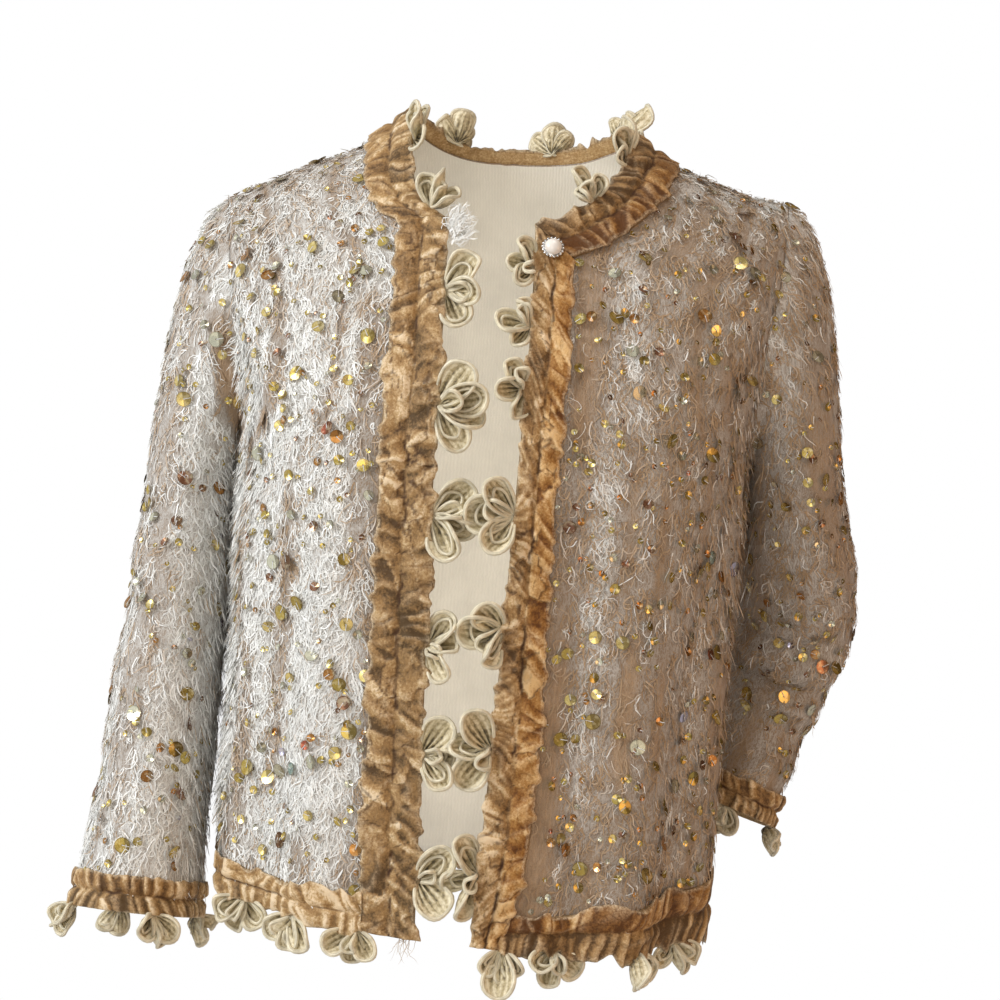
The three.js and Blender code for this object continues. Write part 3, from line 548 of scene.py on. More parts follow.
def sleeve_point(side, down, around, height=0.0):
    """Points of a sleeve: down runs from 0 at the armhole to 1 at the finished cuff."""
    down, around, height = floats(down, around, height)
    along = np.clip((down - CAP_SHARE) / (1 - CAP_SHARE), 0, 1)
    crease = sleeve_crease(side, along, around) * np.clip((down - 0.1) / 0.25, 0, 1)
    cap = cap_point(side, np.clip(down / CAP_SHARE, 0, 1), around, height + crease)
    arm = arm_point(side, along, around, height + crease)
    return np.where((down < CAP_SHARE)[..., None], cap, arm)


def sleeve_axes(side, down, around):
    step = 0.004
    ahead = np.minimum(down + step, 1)
    along = sleeve_point(side, ahead, around) - sleeve_point(side, ahead - 2 * step, around)
    across = sleeve_point(side, down, around + step) - sleeve_point(side, down, around - step)
    out = unit(np.cross(along, across))
    inside = sum(sleeve_point(side, down, around + i / 4) for i in range(4)) / 4
    return unit(along), turned_to(out, sleeve_point(side, down, around) - inside)


def arm_length(side):
    return steps_of(arm_section(side, np.linspace(0, 1, 41))[0]).sum()


# ---------------- edges of the pieces

HEM_TUCK = TUCK / (UNDERARM_Z - HEM_Z)
LAST_NECK_ROW = len(NECKLINE["face"]) - 1


def neck_edges():
    """The neckline's rows as turn and drop. Drops on the back are below 0."""
    face = NECKLINE["face"]
    edges = {}
    for edge in ("in", "out"):
        x, z = NECKLINE[f"{edge}_x"], NECKLINE[f"{edge}_z"]
        drop = np.where(face == 0, 0, drop_at_z(x, z))
        edges[f"{edge}_turn"] = turn_at_x(x, drop)
        edges[f"{edge}_drop"] = np.where(face > 0, -drop, drop)
    return edges


NECK_EDGES = neck_edges()


def neck_place(along, across):
    at = np.asarray(along, float) * LAST_NECK_ROW
    in_turn, in_drop, out_turn, out_drop = (read(NECK_EDGES, "row", edge, at) for edge in NECK_EDGES)
    return mix(in_turn, out_turn, across), mix(in_drop, out_drop, across)


def cloth_neckline(first_row, last_row):
    turn, drop = neck_place(np.linspace(first_row / LAST_NECK_ROW, last_row / LAST_NECK_ROW, 25), NECK_TUCK)
    order = np.argsort(np.abs(drop), kind="stable")
    return turn[order], np.abs(drop)[order]


def cloth_edge_x(side, drop):
    return edge_x(side, drop) + SIDES[side] * TUCK


def corner_drop(side):
    return float(drop_at_z(cloth_edge_x(side, 0.5), NECK_CORNER[side] - TUCK))


FRONT_NECKLINE = {
    "right": cloth_neckline(0, RIDGE_ROW["right"]),
    "left": cloth_neckline(RIDGE_ROW["left"], LAST_NECK_ROW),
}
BACK_NECKLINE = {
    "right": cloth_neckline(RIDGE_ROW["right"], NECK_MIDDLE_ROW),
    "left": cloth_neckline(NECK_MIDDLE_ROW, RIDGE_ROW["left"]),
}


def front_inner_turn(side, drop):
    """The turn at which a front's cloth ends, under its ribbon or in its neckline."""
    turns, drops = FRONT_NECKLINE[side]
    below = turn_at_x(cloth_edge_x(side, np.maximum(drop, 0.5)), drop)
    return np.where(drop >= corner_drop(side) - 1e-9, below, np.interp(drop, drops, turns))


def front_drops(side, rows, neck_rows):
    """The drop of each row of a front's grid, from its hem up."""
    corner, neck = corner_drop(side), np.linspace(1, 0, neck_rows + 1)[1:] ** SHOULDER_CROWD
    return np.concatenate([np.linspace(2 - HEM_TUCK, corner, rows + 1), corner * neck])


def top_of_back(lateral):
    """The drop at which a column of the back ends."""
    turns, drops = BACK_NECKLINE["right" if lateral < 0 else "left"]
    share = abs(lateral)
    if share * outer_turn("back", 0.0) >= abs(turns[0]):
        return 0.0
    low, high = 0.0, drops[-1]
    for _ in range(30):
        drop = (low + high) / 2
        if abs(np.interp(drop, drops, turns)) > share * outer_turn("back", drop):
            low = drop
        else:
            high = drop
    return low


def back_laterals(shoulder, neck):
    corner = {side: abs(BACK_NECKLINE[side][0][0]) / float(outer_turn("back", 0.0)) for side in SIDES}
    crowded = (1 - np.cos(np.linspace(0, math.pi, neck + 1))) / 2
    return np.concatenate(
        [
            np.linspace(-1, -corner["right"], shoulder + 1),
            mix(-corner["right"], corner["left"], crowded[1:]),
            np.linspace(corner["left"], 1, shoulder + 1)[1:],
        ]
    )


def front_width_at(side, drop):
    return read(RIBBON_WIDTH[f"front_{side}"], "place", "width", drop)


def hem_end_turn(side, drop):
    width = front_width_at(side, drop) - MITRE_LAP
    return turn_at_x(edge_x(side, drop) + SIDES[side] * width, drop)


# Where a ribbon lies: a place along it, and across it from its inner edge at 0 to its outer at 1.


def front_ribbon_place(side, along, across):
    start = edge_x(side, 0.5) + SIDES[side] * across * front_width_at(side, 0.5)
    top = drop_at_z(start, mix(*NECK_MITRE[side], across) + NECK_LAP)
    drop = mix(2, top, along)
    x = edge_x(side, drop) + SIDES[side] * across * front_width_at(side, drop)
    return turn_at_x(x, drop), drop


def hem_ribbon_place(along, across):
    """along 0 is beside the left front's ribbon and 1 beside the right one's."""
    turn = mix(hem_end_turn("left", 2.0), 360 + hem_end_turn("right", 2.0), along)
    width = read(RIBBON_WIDTH["hem"], "place", "width", turn)
    drop = 2 - width * across / (UNDERARM_Z - HEM_Z)
    start, end = hem_end_turn("left", drop), 360 + hem_end_turn("right", drop)
    return mix(start, end, along), drop


# ---------------- meshes


def placed(name, data, place=(0, 0, 0)):
    """A new object of the scene, at a place in metres."""
    obj = bpy.data.objects.new(name, data)
    bpy.context.scene.collection.objects.link(obj)
    obj.location = place
    return obj


def link(name, mesh, replaces=()):
    """The mesh as a piece that rides on the frame."""
    piece = placed(name, mesh)
    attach(piece, "root")
    if replaces:
        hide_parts(*replaces)
    return piece


def mesh_of(name, points, faces, materials, kinds=None, uv=None, values=None):
    """A smooth mesh from points in millimetres and arrays of faces.

    uv and values are given for each point: a value is a number, a vector of 3 or a colour of 4.
    """
    mesh = bpy.data.meshes.new(name)
    faces = [f for f in faces if len(f)]
    corners = np.concatenate([f.ravel() for f in faces]).astype(np.int32)
    sizes = np.concatenate([np.full(len(f), f.shape[1]) for f in faces])
    starts = np.concatenate([[0], np.cumsum(sizes)[:-1]]).astype(np.int32)
    mesh.vertices.add(len(points))
    mesh.vertices.foreach_set("co", (points * MM).ravel().astype(np.float32))
    mesh.loops.add(len(corners))
    mesh.loops.foreach_set("vertex_index", corners)
    mesh.polygons.add(len(sizes))
    mesh.polygons.foreach_set("loop_start", starts)
    mesh.polygons.foreach_set("use_smooth", np.ones(len(sizes), bool))
    if kinds is not None:
        mesh.polygons.foreach_set("material_index", np.concatenate(kinds).astype(np.int32))
    if uv is not None:
        layer = mesh.uv_layers.new(name="UVMap")
        layer.data.foreach_set("uv", uv[corners].ravel().astype(np.float32))
    for key, value in (values or {}).items():
        kind, field = VALUE_KINDS[value.shape[1:]]
        attribute = mesh.attributes.new(key, kind, "POINT")
        attribute.data.foreach_set(field, value.ravel().astype(np.float32))
    mesh.update(calc_edges=True)
    mesh.validate()
    for material in materials:
        mesh.materials.append(material)
    return mesh


VALUE_KINDS = {(): ("FLOAT", "value"), (3,): ("FLOAT_VECTOR", "vector"), (4,): ("FLOAT_COLOR", "color")}


def outward(points, faces):
    """Arrays of a closed body's faces, the first of them quads, turned so that they face out."""
    a, b, c, d = np.moveaxis(points[faces[0]], 1, 0)
    volume = (a * (np.cross(b, c) + np.cross(c, d))).sum()
    return faces if volume > 0 else [f[:, ::-1] for f in faces]


def grid_faces(rows, columns, loop=False, start=0):
    r, c = np.meshgrid(np.arange(rows - 1), np.arange(columns if loop else columns - 1), indexing="ij")
    r, c = r.ravel(), c.ravel()
    n = (c + 1) % columns
    here, below = start + r * columns, start + (r + 1) * columns
    return np.stack([here + c, here + n, below + n, below + c], 1)


def shell(outer, inner, loop=False):
    """Points and faces of a closed wall between two grids, and which faces are the inner ones."""
    rows, columns = outer.shape[:2]
    count = rows * columns
    front = grid_faces(rows, columns, loop)
    back = grid_faces(rows, columns, loop, count)[:, ::-1]
    ring = np.arange(columns) if loop else np.arange(columns - 1)
    nxt, last = (ring + 1) % columns, (rows - 1) * columns
    edges = [(ring, nxt), (last + nxt, last + ring)]
    if not loop:
        step = np.arange(rows - 1) * columns
        end = step + columns - 1
        edges += [(step + columns, step), (end, end + columns)]
    rim = np.concatenate([np.stack([a, a + count, b + count, b], 1) for a, b in edges])
    points = np.concatenate([outer.reshape(-1, 3), inner.reshape(-1, 3)])
    kinds = np.concatenate([np.zeros(len(front)), np.ones(len(back)), np.zeros(len(rim))])
    return points, outward(points, [np.concatenate([front, back, rim])]), kinds


def tube(rings, wrap=False):
    """Points and faces of a closed tube through rings of points, capped at its ends unless they meet."""
    count, around = rings.shape[:2]
    points, faces = rings.reshape(-1, 3), grid_faces(count, around, loop=True)
    ring = np.arange(around)
    nxt, last = (ring + 1) % around, (count - 1) * around
    if wrap:
        return points, [np.concatenate([faces, np.stack([last + ring, last + nxt, nxt, ring], 1)])]
    ends = [rings[row].mean(0, keepdims=True) for row in (0, -1)]
    start, end = (np.full(around, len(points) + i) for i in (0, 1))
    caps = [np.stack([nxt, ring, start], 1), np.stack([last + ring, last + nxt, end], 1)]
    return np.concatenate([points, *ends]), [faces, np.concatenate(caps)]


def cord_rings(path, radius, sides):
    """Rings of points round a closed path, as a cord of the given radius."""
    along = unit(np.roll(path, -1, 0) - np.roll(path, 1, 0))
    side = unit(np.cross(along, np.array([0, 0, 1.0])))
    top = unit(np.cross(side, along))
    angle = np.linspace(0, math.tau, sides, endpoint=False)[None, :, None]
    spoke = np.cos(angle) * side[:, None, :] + np.sin(angle) * top[:, None, :]
    return path[:, None, :] + np.broadcast_to(radius, len(path))[:, None, None] * spoke


class Parts:
    """Gathers points and faces of several bodies into one mesh."""

    def __init__(self):
        self.points, self.faces, self.kinds, self.uv, self.values, self.count = [], [], [], [], {}, 0

    def add(self, points, faces, kind=0, uv=None, **values):
        points = points.reshape(-1, 3)
        for group in faces:
            self.faces.append(group + self.count)
            self.kinds.append(np.full(len(group), kind))
        self.points.append(points)
        self.uv.append(np.zeros((len(points), 2)) if uv is None else uv.reshape(-1, 2))
        for key, value in values.items():
            value = np.asarray(value, float)
            self.values.setdefault(key, []).append(np.broadcast_to(value, (len(points), *value.shape[1:])))
        self.count += len(points)

    def moved(self, basis, place):
        """Turns everything gathered to the axes of basis, and moves it to a place."""
        self.points = [np.concatenate(self.points) @ basis.T + place]

    def mesh(self, name, materials):
        values = {key: np.concatenate(value) for key, value in self.values.items()}
        points, uv = np.concatenate(self.points), np.concatenate(self.uv)
        return mesh_of(name, points, self.faces, materials, self.kinds, uv, values)


# ---------------- materials


class Wiring:
    """Adds nodes to a tree and joins them by their sockets' names."""

    def __init__(self, tree):
        self.tree = tree

    def give(self, socket, value):
        """Links a socket to another one, or sets its plain number, vector or colour."""
        if isinstance(value, bpy.types.NodeSocket):
            self.tree.links.new(value, socket)
        elif socket.type == "RGBA" and len(value) == 3:
            socket.default_value = (*value, 1)
        else:
            socket.default_value = value

    def add(self, kind, inputs=None, **settings):
        node = self.tree.nodes.new(kind)
        for key, value in settings.items():
            setattr(node, key, value)
        for key, value in (inputs or {}).items():
            self.give(node.inputs[key], value)
        return node

    def math(self, operation, a, b=0.0):
        return self.add("ShaderNodeMath", {0: a, 1: b}, operation=operation).outputs[0]

    def plus(self, a, b):
        return self.math("ADD", a, b)

    def minus(self, a, b):
        return self.math("SUBTRACT", a, b)

    def times(self, a, b):
        return self.math("MULTIPLY", a, b)

    def split(self, vector):
        return self.add("ShaderNodeSeparateXYZ", {0: vector}).outputs

    def here(self):
        return self.add("ShaderNodeTexCoord").outputs["Object"]

    def along(self, x, y, shift=0):
        """The mesh's own lengths in millimetres, counted in steps of x and y."""
        uv = self.add("ShaderNodeTexCoord").outputs["UV"]
        inputs = {"Vector": uv, "Location": (shift, shift, 0), "Scale": (x, y, 1)}
        return self.add("ShaderNodeMapping", inputs).outputs[0]

    def noise(self, vector, scale, detail=2.0, roughness=0.5, wander=0.0, output="Fac"):
        inputs = {"Vector": vector, "Scale": scale, "Detail": detail, "Roughness": roughness}
        return self.add("ShaderNodeTexNoise", {**inputs, "Distortion": wander}).outputs[output]

    def cells(self, vector, feature, output):
        node = self.add("ShaderNodeTexVoronoi", {"Vector": vector, "Scale": 1.0}, feature=feature)
        return node.outputs[output]

    def ramp(self, value, *stops):
        """A smooth ramp through (place, brightness) or (place, colour) stops."""
        node = self.add("ShaderNodeValToRGB", {"Fac": value})
        ends = node.color_ramp.elements
        while len(ends) < len(stops):
            ends.new(0.5)
        for end, (place, level) in zip(ends, stops):
            end.position = place
            end.color = (*([level] * 3 if isinstance(level, (int, float)) else level), 1)
        return node.outputs["Color"]

    def blend(self, share, a, b):
        return self.add("ShaderNodeMix", {"Factor": share, 6: a, 7: b}, data_type="RGBA").outputs[2]

    def attribute(self, name, output="Fac"):
        return self.add("ShaderNodeAttribute", attribute_name=name).outputs[output]

    def bump(self, height, strength, distance):
        inputs = {"Height": height, "Strength": strength, "Distance": distance}
        return self.add("ShaderNodeBump", inputs).outputs["Normal"]

    def group(self, tree, inputs):
        return self.add("ShaderNodeGroup", inputs, node_tree=tree).outputs


SOCKETS = {"Vector": "NodeSocketVector", "Colour": "NodeSocketColor", "Other": "NodeSocketColor"}


def node_group(name, inputs, outputs, build):
    """A shader node group, with its inputs' defaults."""
    tree = bpy.data.node_groups.new(name, "ShaderNodeTree")
    for way, keys in (("INPUT", inputs), ("OUTPUT", outputs)):
        for key in keys:
            kind = SOCKETS.get(key, "NodeSocketFloat")
            socket = tree.interface.new_socket(name=key, in_out=way, socket_type=kind)
            if way == "INPUT" and inputs[key] is not None:
                socket.default_value = inputs[key]
    w = Wiring(tree)
    source, sink = w.add("NodeGroupInput"), w.add("NodeGroupOutput")
    for key, value in build(w, source.outputs).items():
        w.give(sink.inputs[key], value)
    return tree


def colour_drift(w, given):
    """A colour that wanders softly towards another one."""
    drift = w.noise(given["Vector"], given["Scale"], 3.0, 0.6)
    share = w.times(w.ramp(drift, (0.35, 0.0), (0.65, 1.0)), given["Amount"])
    return {"Colour": w.blend(share, given["Colour"], given["Other"])}


def ribbing(w, given):
    """Fine ribs along the grain with a crossing weave. The vector is in ribs and picks."""
    parts = w.split(given["Vector"])
    wander = w.times(w.noise(given["Vector"], 0.35), 1.2)
    across = w.math("SINE", w.times(w.plus(parts[0], wander), math.tau))
    picks = w.math("SINE", w.times(parts[1], math.tau))
    rib = w.times(w.plus(across, 1.0), 0.5)
    return {"Height": w.plus(rib, w.times(picks, given["Picks"])), "Shade": rib}


def thread_twist(w, given):
    """The slanting strands of a twisted cord. The vector runs along it and round it."""
    parts = w.split(given["Vector"])
    turns = w.plus(w.times(parts[0], given["Strands"]), parts[1])
    wave = w.math("ABSOLUTE", w.math("SINE", w.times(turns, math.pi)))
    return {"Height": w.math("POWER", wave, 0.5), "Shade": wave}


def finish_of(name, build, numbers):
    """A material whose Principled BSDF gets its plain numbers here and its links from build."""
    material = bpy.data.materials.new(name)
    material.use_nodes = True
    w = Wiring(material.node_tree)
    surface = material.node_tree.nodes["Principled BSDF"]
    for key, value in {**numbers, **build(w)}.items():
        w.give(surface.inputs[key], value)
    return material


# Fine curls drawn on the cloth: how close across and down, a shift of the noise, how far they wander.
DRAWN_CURLS = ((0.36, 0.13, 0.0, 0.9), (0.27, 0.11, 37.0, 1.3), (0.55, 0.2, 71.0, 0.7))


def make_finishes(cloth_settings, trim_settings):
    """Every material of the jacket, by name."""
    drift_inputs = {"Vector": None, "Colour": None, "Other": None, "Scale": 30.0, "Amount": 1.0}
    drift = node_group("Colour drift", drift_inputs, ["Colour"], colour_drift)
    rib = node_group("Ribbing", {"Vector": None, "Picks": 0.3}, ["Height", "Shade"], ribbing)
    twist = node_group("Thread twist", {"Vector": None, "Strands": 1.0}, ["Height", "Shade"], thread_twist)

    def chosen(settings, key):
        return tuple(getattr(settings, f"{key}_colour"))

    base, inner, fringe = (chosen(cloth_settings, key) for key in ("cloth", "wrong_side", "fringe"))
    velvet, braid, petal = (chosen(trim_settings, key) for key in ("velvet", "braid", "petal"))

    def shaded(colour, amount):
        return tuple(c * amount for c in colour)

    def drifting(w, colour, amount, scale, share=1.0):
        """The colour, wandering softly towards a darker one."""
        inputs = {"Vector": w.here(), "Colour": colour, "Other": shaded(colour, amount), "Scale": scale}
        return w.group(drift, {**inputs, "Amount": share})["Colour"]

    def cloth(w):
        ribs = w.group(rib, {"Vector": w.along(0.42, 0.9), "Picks": 0.35})
        ribbed = w.blend(w.times(ribs["Shade"], 0.2), drifting(w, base, 0.78, 45.0, 0.8), shaded(base, 0.62))
        # Darker streaks down the ground.
        darker_streaks = w.ramp(w.noise(w.along(0.55, 0.07), 1.0, 3, 0.65), (0.38, 0.6), (0.6, 0.0))
        ribbed = w.blend(darker_streaks, ribbed, shaded(base, 0.55))
        cover = w.attribute("cover")
        # Painted shadow of the strands: the ground darkens where the fringe covers it.
        ribbed = w.blend(w.ramp(cover, (0.06, 0.0), (0.3, 0.75)), ribbed, shaded(base, 0.45))
        curls = None
        for across, down, shift, wander in DRAWN_CURLS:
            level = w.minus(w.noise(w.along(across, down, shift), 1.0, 1.0, wander=wander), 0.5)
            line = w.ramp(w.math("ABSOLUTE", level), (0.0, 1.0), (0.055, 0.0))
            curls = line if curls is None else w.math("MAXIMUM", curls, line)
        streaks = w.ramp(w.noise(w.along(0.9, 0.1), 1.0, 3, 0.6), (0.35, 0.35), (0.6, 1.0))
        mist = w.times(w.times(w.math("POWER", cover, 1.4), streaks), 0.82)
        misted = w.blend(mist, ribbed, shaded(fringe, 0.8))
        drawn = w.times(curls, w.times(w.ramp(cover, (0.0, 0.0), (0.9, 1.0)), 0.9))
        height = w.plus(w.times(ribs["Height"], 0.3), w.times(curls, 1.6))
        return {"Base Color": w.blend(drawn, misted, fringe), "Normal": w.bump(height, 0.45, 0.0009)}

    def wrong_side(w):
        ribs = w.group(rib, {"Vector": w.along(0.42, 0.9), "Picks": 0.2})
        ground = drifting(w, inner, 0.86, 20.0)
        return {
            "Base Color": w.blend(w.times(ribs["Shade"], 0.22), ground, shaded(inner, 0.75)),
            "Normal": w.bump(ribs["Height"], 0.3, 0.0006),
        }

    def lashes(w):
        # A strand runs from a dim brown of painted shade to the fringe's white as its tone and painted light
        # rise.
        tone = w.attribute("tone")
        stops = (
            (0.0, (0.42, 0.285, 0.165)),
            (0.35, (0.555, 0.42, 0.29)),
            (0.6, shaded(fringe, 0.9)),
            (1.0, shaded(fringe, 1.07)),
        )
        return {"Base Color": w.ramp(tone, *stops), "Roughness": w.ramp(tone, (0.0, 0.6), (1.0, 0.35))}

    def foil(w):
        """Tinted foil with a darker rim, paler streaks and a painted reflection darkening one side. spin is a
        place on the disc and its number.
        """
        tint, spin = w.attribute("tint", "Color"), w.attribute("spin", "Vector")
        x, y, number = w.split(spin)
        streak = w.noise(spin, 1.6, 2)
        reach = w.math("POWER", w.plus(w.times(x, x), w.times(y, y)), 0.5)
        # Painted reflection: one side of each disc, cut at a place of its own, turns dark.
        turned = w.math("GREATER_THAN", x, w.minus(w.math("FRACT", w.times(number, 7.0)), 0.3))
        half = w.blend(w.times(turned, 0.62), tint, (0.1, 0.06, 0.02))
        painted_light = w.blend(w.ramp(streak, (0.48, 0.0), (0.7, 0.4)), half, (0.95, 0.88, 0.62))
        return {
            "Base Color": w.blend(w.ramp(reach, (0.85, 0.0), (0.93, 0.45)), painted_light, (0.14, 0.09, 0.04)),
            "Roughness": w.ramp(streak, (0.3, 0.16), (0.7, 0.34)),
        }

    def thread(w):
        return {"Base Color": w.ramp(w.noise(w.here(), 900), (0.3, 0.62), (0.7, 0.85))}

    def crushed(w):
        """Velvet mottled by its crush, with painted light from its relief, painted shade in its folds and
        creases, painted highlights on its crests and a painted sheen on each facet.
        """
        names = ("fold", "facet", "fray", "warm", "crest", "level")
        fold, facet, fray, warm, crest, level = (w.attribute(name) for name in names)
        crush, blotch = w.noise(w.here(), 620, 4, 0.7), w.noise(w.here(), 150, 3, 0.6)
        bent = w.noise(w.along(0.11, 0.11), 1.0, output="Color")
        places = {0: w.along(0.08, 0.125), 1: bent}
        cells = w.add("ShaderNodeVectorMath", places, operation="ADD").outputs[0]
        own = w.add("ShaderNodeSeparateColor", {"Color": w.cells(cells, "F1", "Color")}).outputs[0]
        broken = w.ramp(w.noise(w.along(0.13, 0.2), 1.0), (0.46, 0.0), (0.6, 1.0))
        edge = w.cells(cells, "DISTANCE_TO_EDGE", "Distance")
        crease = w.times(w.ramp(edge, (0.0, 1.0), (0.03, 0.6), (0.11, 0.0)), broken)
        # The crush's mottling mixed with painted light: the relief's level, each facet's painted sheen and
        # its cell's own tone.
        crush_and_light = w.plus(w.times(crush, 0.3), w.times(blotch, 0.08))
        crush_and_light = w.plus(crush_and_light, w.times(level, 0.2))
        crush_and_light = w.plus(crush_and_light, w.times(w.plus(facet, 0.52), 0.215))
        crush_and_light = w.plus(crush_and_light, w.times(w.minus(own, 0.5), 0.05))
        # Both ramps run from painted shade through the velvet's colour to a painted highlight.
        brown = w.ramp(
            crush_and_light,
            (0.385, shaded(velvet, 0.24)),
            (0.45, shaded(velvet, 0.6)),
            (0.52, shaded(velvet, 0.93)),
            (0.575, (0.58, 0.4, 0.2)),
            (0.635, (0.9, 0.72, 0.49)),
        )
        orange = w.ramp(
            crush_and_light,
            (0.39, (0.12, 0.04, 0.006)),
            (0.46, (0.265, 0.108, 0.02)),
            (0.527, (0.42, 0.205, 0.054)),
            (0.63, (0.78, 0.5, 0.22)),
        )
        # Painted highlights on the crests.
        crests = w.times(crest, w.ramp(crush, (0.35, 0.15), (0.6, 0.7)))
        lit = w.blend(crests, w.blend(warm, brown, orange), (0.84, 0.67, 0.46))
        # Painted shade along the crease lines between the facets.
        crease_shaded = w.blend(w.times(crease, 0.28), lit, shaded(velvet, 0.22))
        # Painted shade: near black where the folds close.
        deep = w.blend(w.ramp(fold, (0.05, 0.0), (0.75, 1.0)), (0.055, 0.02, 0.006), crease_shaded)
        frayed = w.times(fray, w.ramp(crush, (0.4, 0.1), (0.6, 0.8)))
        height = w.plus(crush, w.minus(w.times(blotch, 2.0), w.times(crease, 0.5)))
        return {
            "Base Color": w.blend(frayed, deep, (0.8, 0.66, 0.46)),
            "Roughness": w.ramp(crush_and_light, (0.35, 0.62), (0.65, 0.36)),
            "Normal": w.bump(height, 0.6, 0.0012),
        }

    def cord(w):
        strands = w.group(twist, {"Vector": w.along(0.05, 7.0), "Strands": 1.0})
        fibre = w.times(strands["Shade"], w.noise(w.here(), 700, 3))
        lit = w.ramp(fibre, (0.02, 0.3), (0.25, 1.0))
        return {
            "Base Color": w.blend(lit, shaded(braid, 0.62), drifting(w, braid, 0.62, 160.0, 0.8)),
            "Normal": w.bump(w.plus(strands["Height"], w.noise(w.here(), 900, 2)), 0.45, 0.0007),
        }

    def membrane(w):
        fibres, crumpled = w.noise(w.along(0.15, 2.4), 1.0, 3, 0.6), w.noise(w.here(), 330, 3, 0.6)
        # Painted shade and highlight carried by the pleat attribute, roughened by crumples and fibres.
        shade_and_texture = w.plus(w.attribute("pleat"), w.times(w.minus(crumpled, 0.5), 1.3))
        shade_and_texture = w.plus(shade_and_texture, w.times(w.minus(fibres, 0.5), 0.5))
        # The ramp runs from painted shade of the petal cloth to a painted highlight in the braid's colour.
        stops = (0.05, shaded(petal, 0.2)), (0.4, shaded(petal, 0.85)), (0.8, shaded(braid, 1.05))
        height = w.plus(fibres, w.times(crumpled, 1.5))
        return {"Base Color": w.ramp(shade_and_texture, *stops), "Normal": w.bump(height, 0.5, 0.0014)}

    def pearl(w):
        sheen = w.ramp(w.noise(w.here(), 90, 2), (0.35, 0.0), (0.65, 1.0))
        return {"Base Color": w.blend(sheen, (0.86, 0.82, 0.78), (0.93, 0.87, 0.8))}

    def crystal(w):
        return {"Base Color": w.ramp(w.noise(w.here(), 600), (0.35, 0.35), (0.65, 0.95))}

    pile_sheen = {"Sheen Weight": 0.28, "Sheen Roughness": 0.3, "Sheen Tint": (1.0, 0.8, 0.55)}
    rows = (
        ("cloth", "Ribbed cloth", cloth, {"Roughness": 0.9, "Sheen Weight": 0.25, "Sheen Roughness": 0.5}),
        ("wrong", "Cloth wrong side", wrong_side, {"Roughness": 0.95}),
        ("lashes", "Curled fringe", lashes, {"Specular IOR Level": 0.6, "Sheen Weight": 0.15}),
        ("foil", "Sequin foil", foil, {"Metallic": 0.78, "Coat Weight": 0.2}),
        ("thread", "Sequin thread", thread, {"Roughness": 0.7}),
        ("velvet", "Crushed velvet", crushed, {**pile_sheen, "Specular IOR Level": 0.28}),
        ("braid", "Champagne braid", cord, {"Roughness": 0.42, "Sheen Weight": 0.3, "Sheen Roughness": 0.4}),
        ("petal", "Olive petal cloth", membrane, {"Roughness": 0.38, "Sheen Weight": 0.2}),
        ("pearl", "Pearl", pearl, {"Roughness": 0.22, "Coat Weight": 0.6, "Coat Roughness": 0.08}),
        ("crystal", "Crystal bezel", crystal, {"Roughness": 0.12, "Metallic": 0.9}),
    )
    return {key: finish_of(name, build, numbers) for key, name, build, numbers in rows}


# ---------------- cloth panels

CUT_EASE, CUT_FULLNESS = 1.03, 1.04  # what a flat panel has over the hung one, in length and in area
PANEL_STEPS = {"front": (60, 22, 48), "back": (64, 30, 22, 44), "sleeve": (86, 72)}


def arc_uv(grid):
    """Lengths across and down a grid of points, as its cloth was woven."""
    across, down = steps_of(grid, 1).mean(0), steps_of(grid).mean(1)
    u, v = (np.concatenate([[0], np.cumsum(run)]) for run in (across, down))
    return np.stack(np.broadcast_arrays(u[None, :], v[:, None]), -1)


class Panel:
    """One cut piece of cloth: its outer face as a grid, and where its fringe and sequins may lie.

    where turns shares down and across it into places, and point and axes turn those into points and
    into the ways down and out of the cloth.
    """

    def __init__(self, name, rows, columns, where, point, axes, loop=False):
        self.name, self.loop, self.where = name, loop, where
        self.place = lambda down, across: point(*where(down, across))
        self.axes = lambda down, across: axes(*where(down, across))
        self.shares = np.linspace(0, 1, rows)[:, None], np.linspace(0, 1, columns, endpoint=not loop)[None, :]
        self.grid = self.place(*self.shares)
        self.closed = closed = np.concatenate([self.grid, self.grid[:, :1]], 1) if loop else self.grid
        across, down = steps_of(closed, 1).sum(1), steps_of(self.grid).sum(0)
        self.wide, self.long = float(across.mean()), float(down.mean())
        self.cut = float(across.max()) * CUT_EASE * MM, float(down.max()) * CUT_EASE * MM
        a, b = closed[1:, 1:] - closed[:-1, :-1], closed[1:, :-1] - closed[:-1, 1:]
        self.cell_area = np.linalg.norm(np.cross(a, b), axis=2) / 2

    def inner(self):
        grid = self.grid
        pad = np.concatenate([grid[:, -1:], grid, grid[:, :1]], 1) if self.loop else grid
        across = np.gradient(pad, axis=1)[:, 1:-1] if self.loop else np.gradient(grid, axis=1)
        normal = unit(np.cross(across, np.gradient(grid, axis=0)))
        return grid - turned_to(normal, self.axes(*self.shares)[1]) * CLOTH_WALL

    def scatter(self, rng, count, weight):
        """Random places on the panel as (down, across), spread by area and by weight(down, across)."""
        rows, columns = self.cell_area.shape
        down, across = (np.arange(rows) + 0.5) / rows, (np.arange(columns) + 0.5) / columns
        share = self.cell_area * weight(down[:, None], across[None, :])
        cells = rng.choice(rows * columns, count, p=(share / share.sum()).ravel())
        i, j = cells // columns, cells % columns
        return (i + rng.random(count)) / rows, (j + rng.random(count)) / columns


def front_panel(side):
    *steps, columns = PANEL_STEPS["front"]
    drops = front_drops(side, *steps)
    rows = len(drops)

    def where(down, across):
        """From the grid's own shares, with down 0 at the shoulder, to turn and drop."""
        down, across = np.broadcast_arrays(down, across)
        drop = np.interp((1 - down) * (rows - 1), np.arange(rows), drops)
        return mix(front_inner_turn(side, drop), SIDES[side] * outer_turn("front", drop), across), drop

    return Panel(f"front_{side}", rows, columns + 1, where, body_point, body_axes)


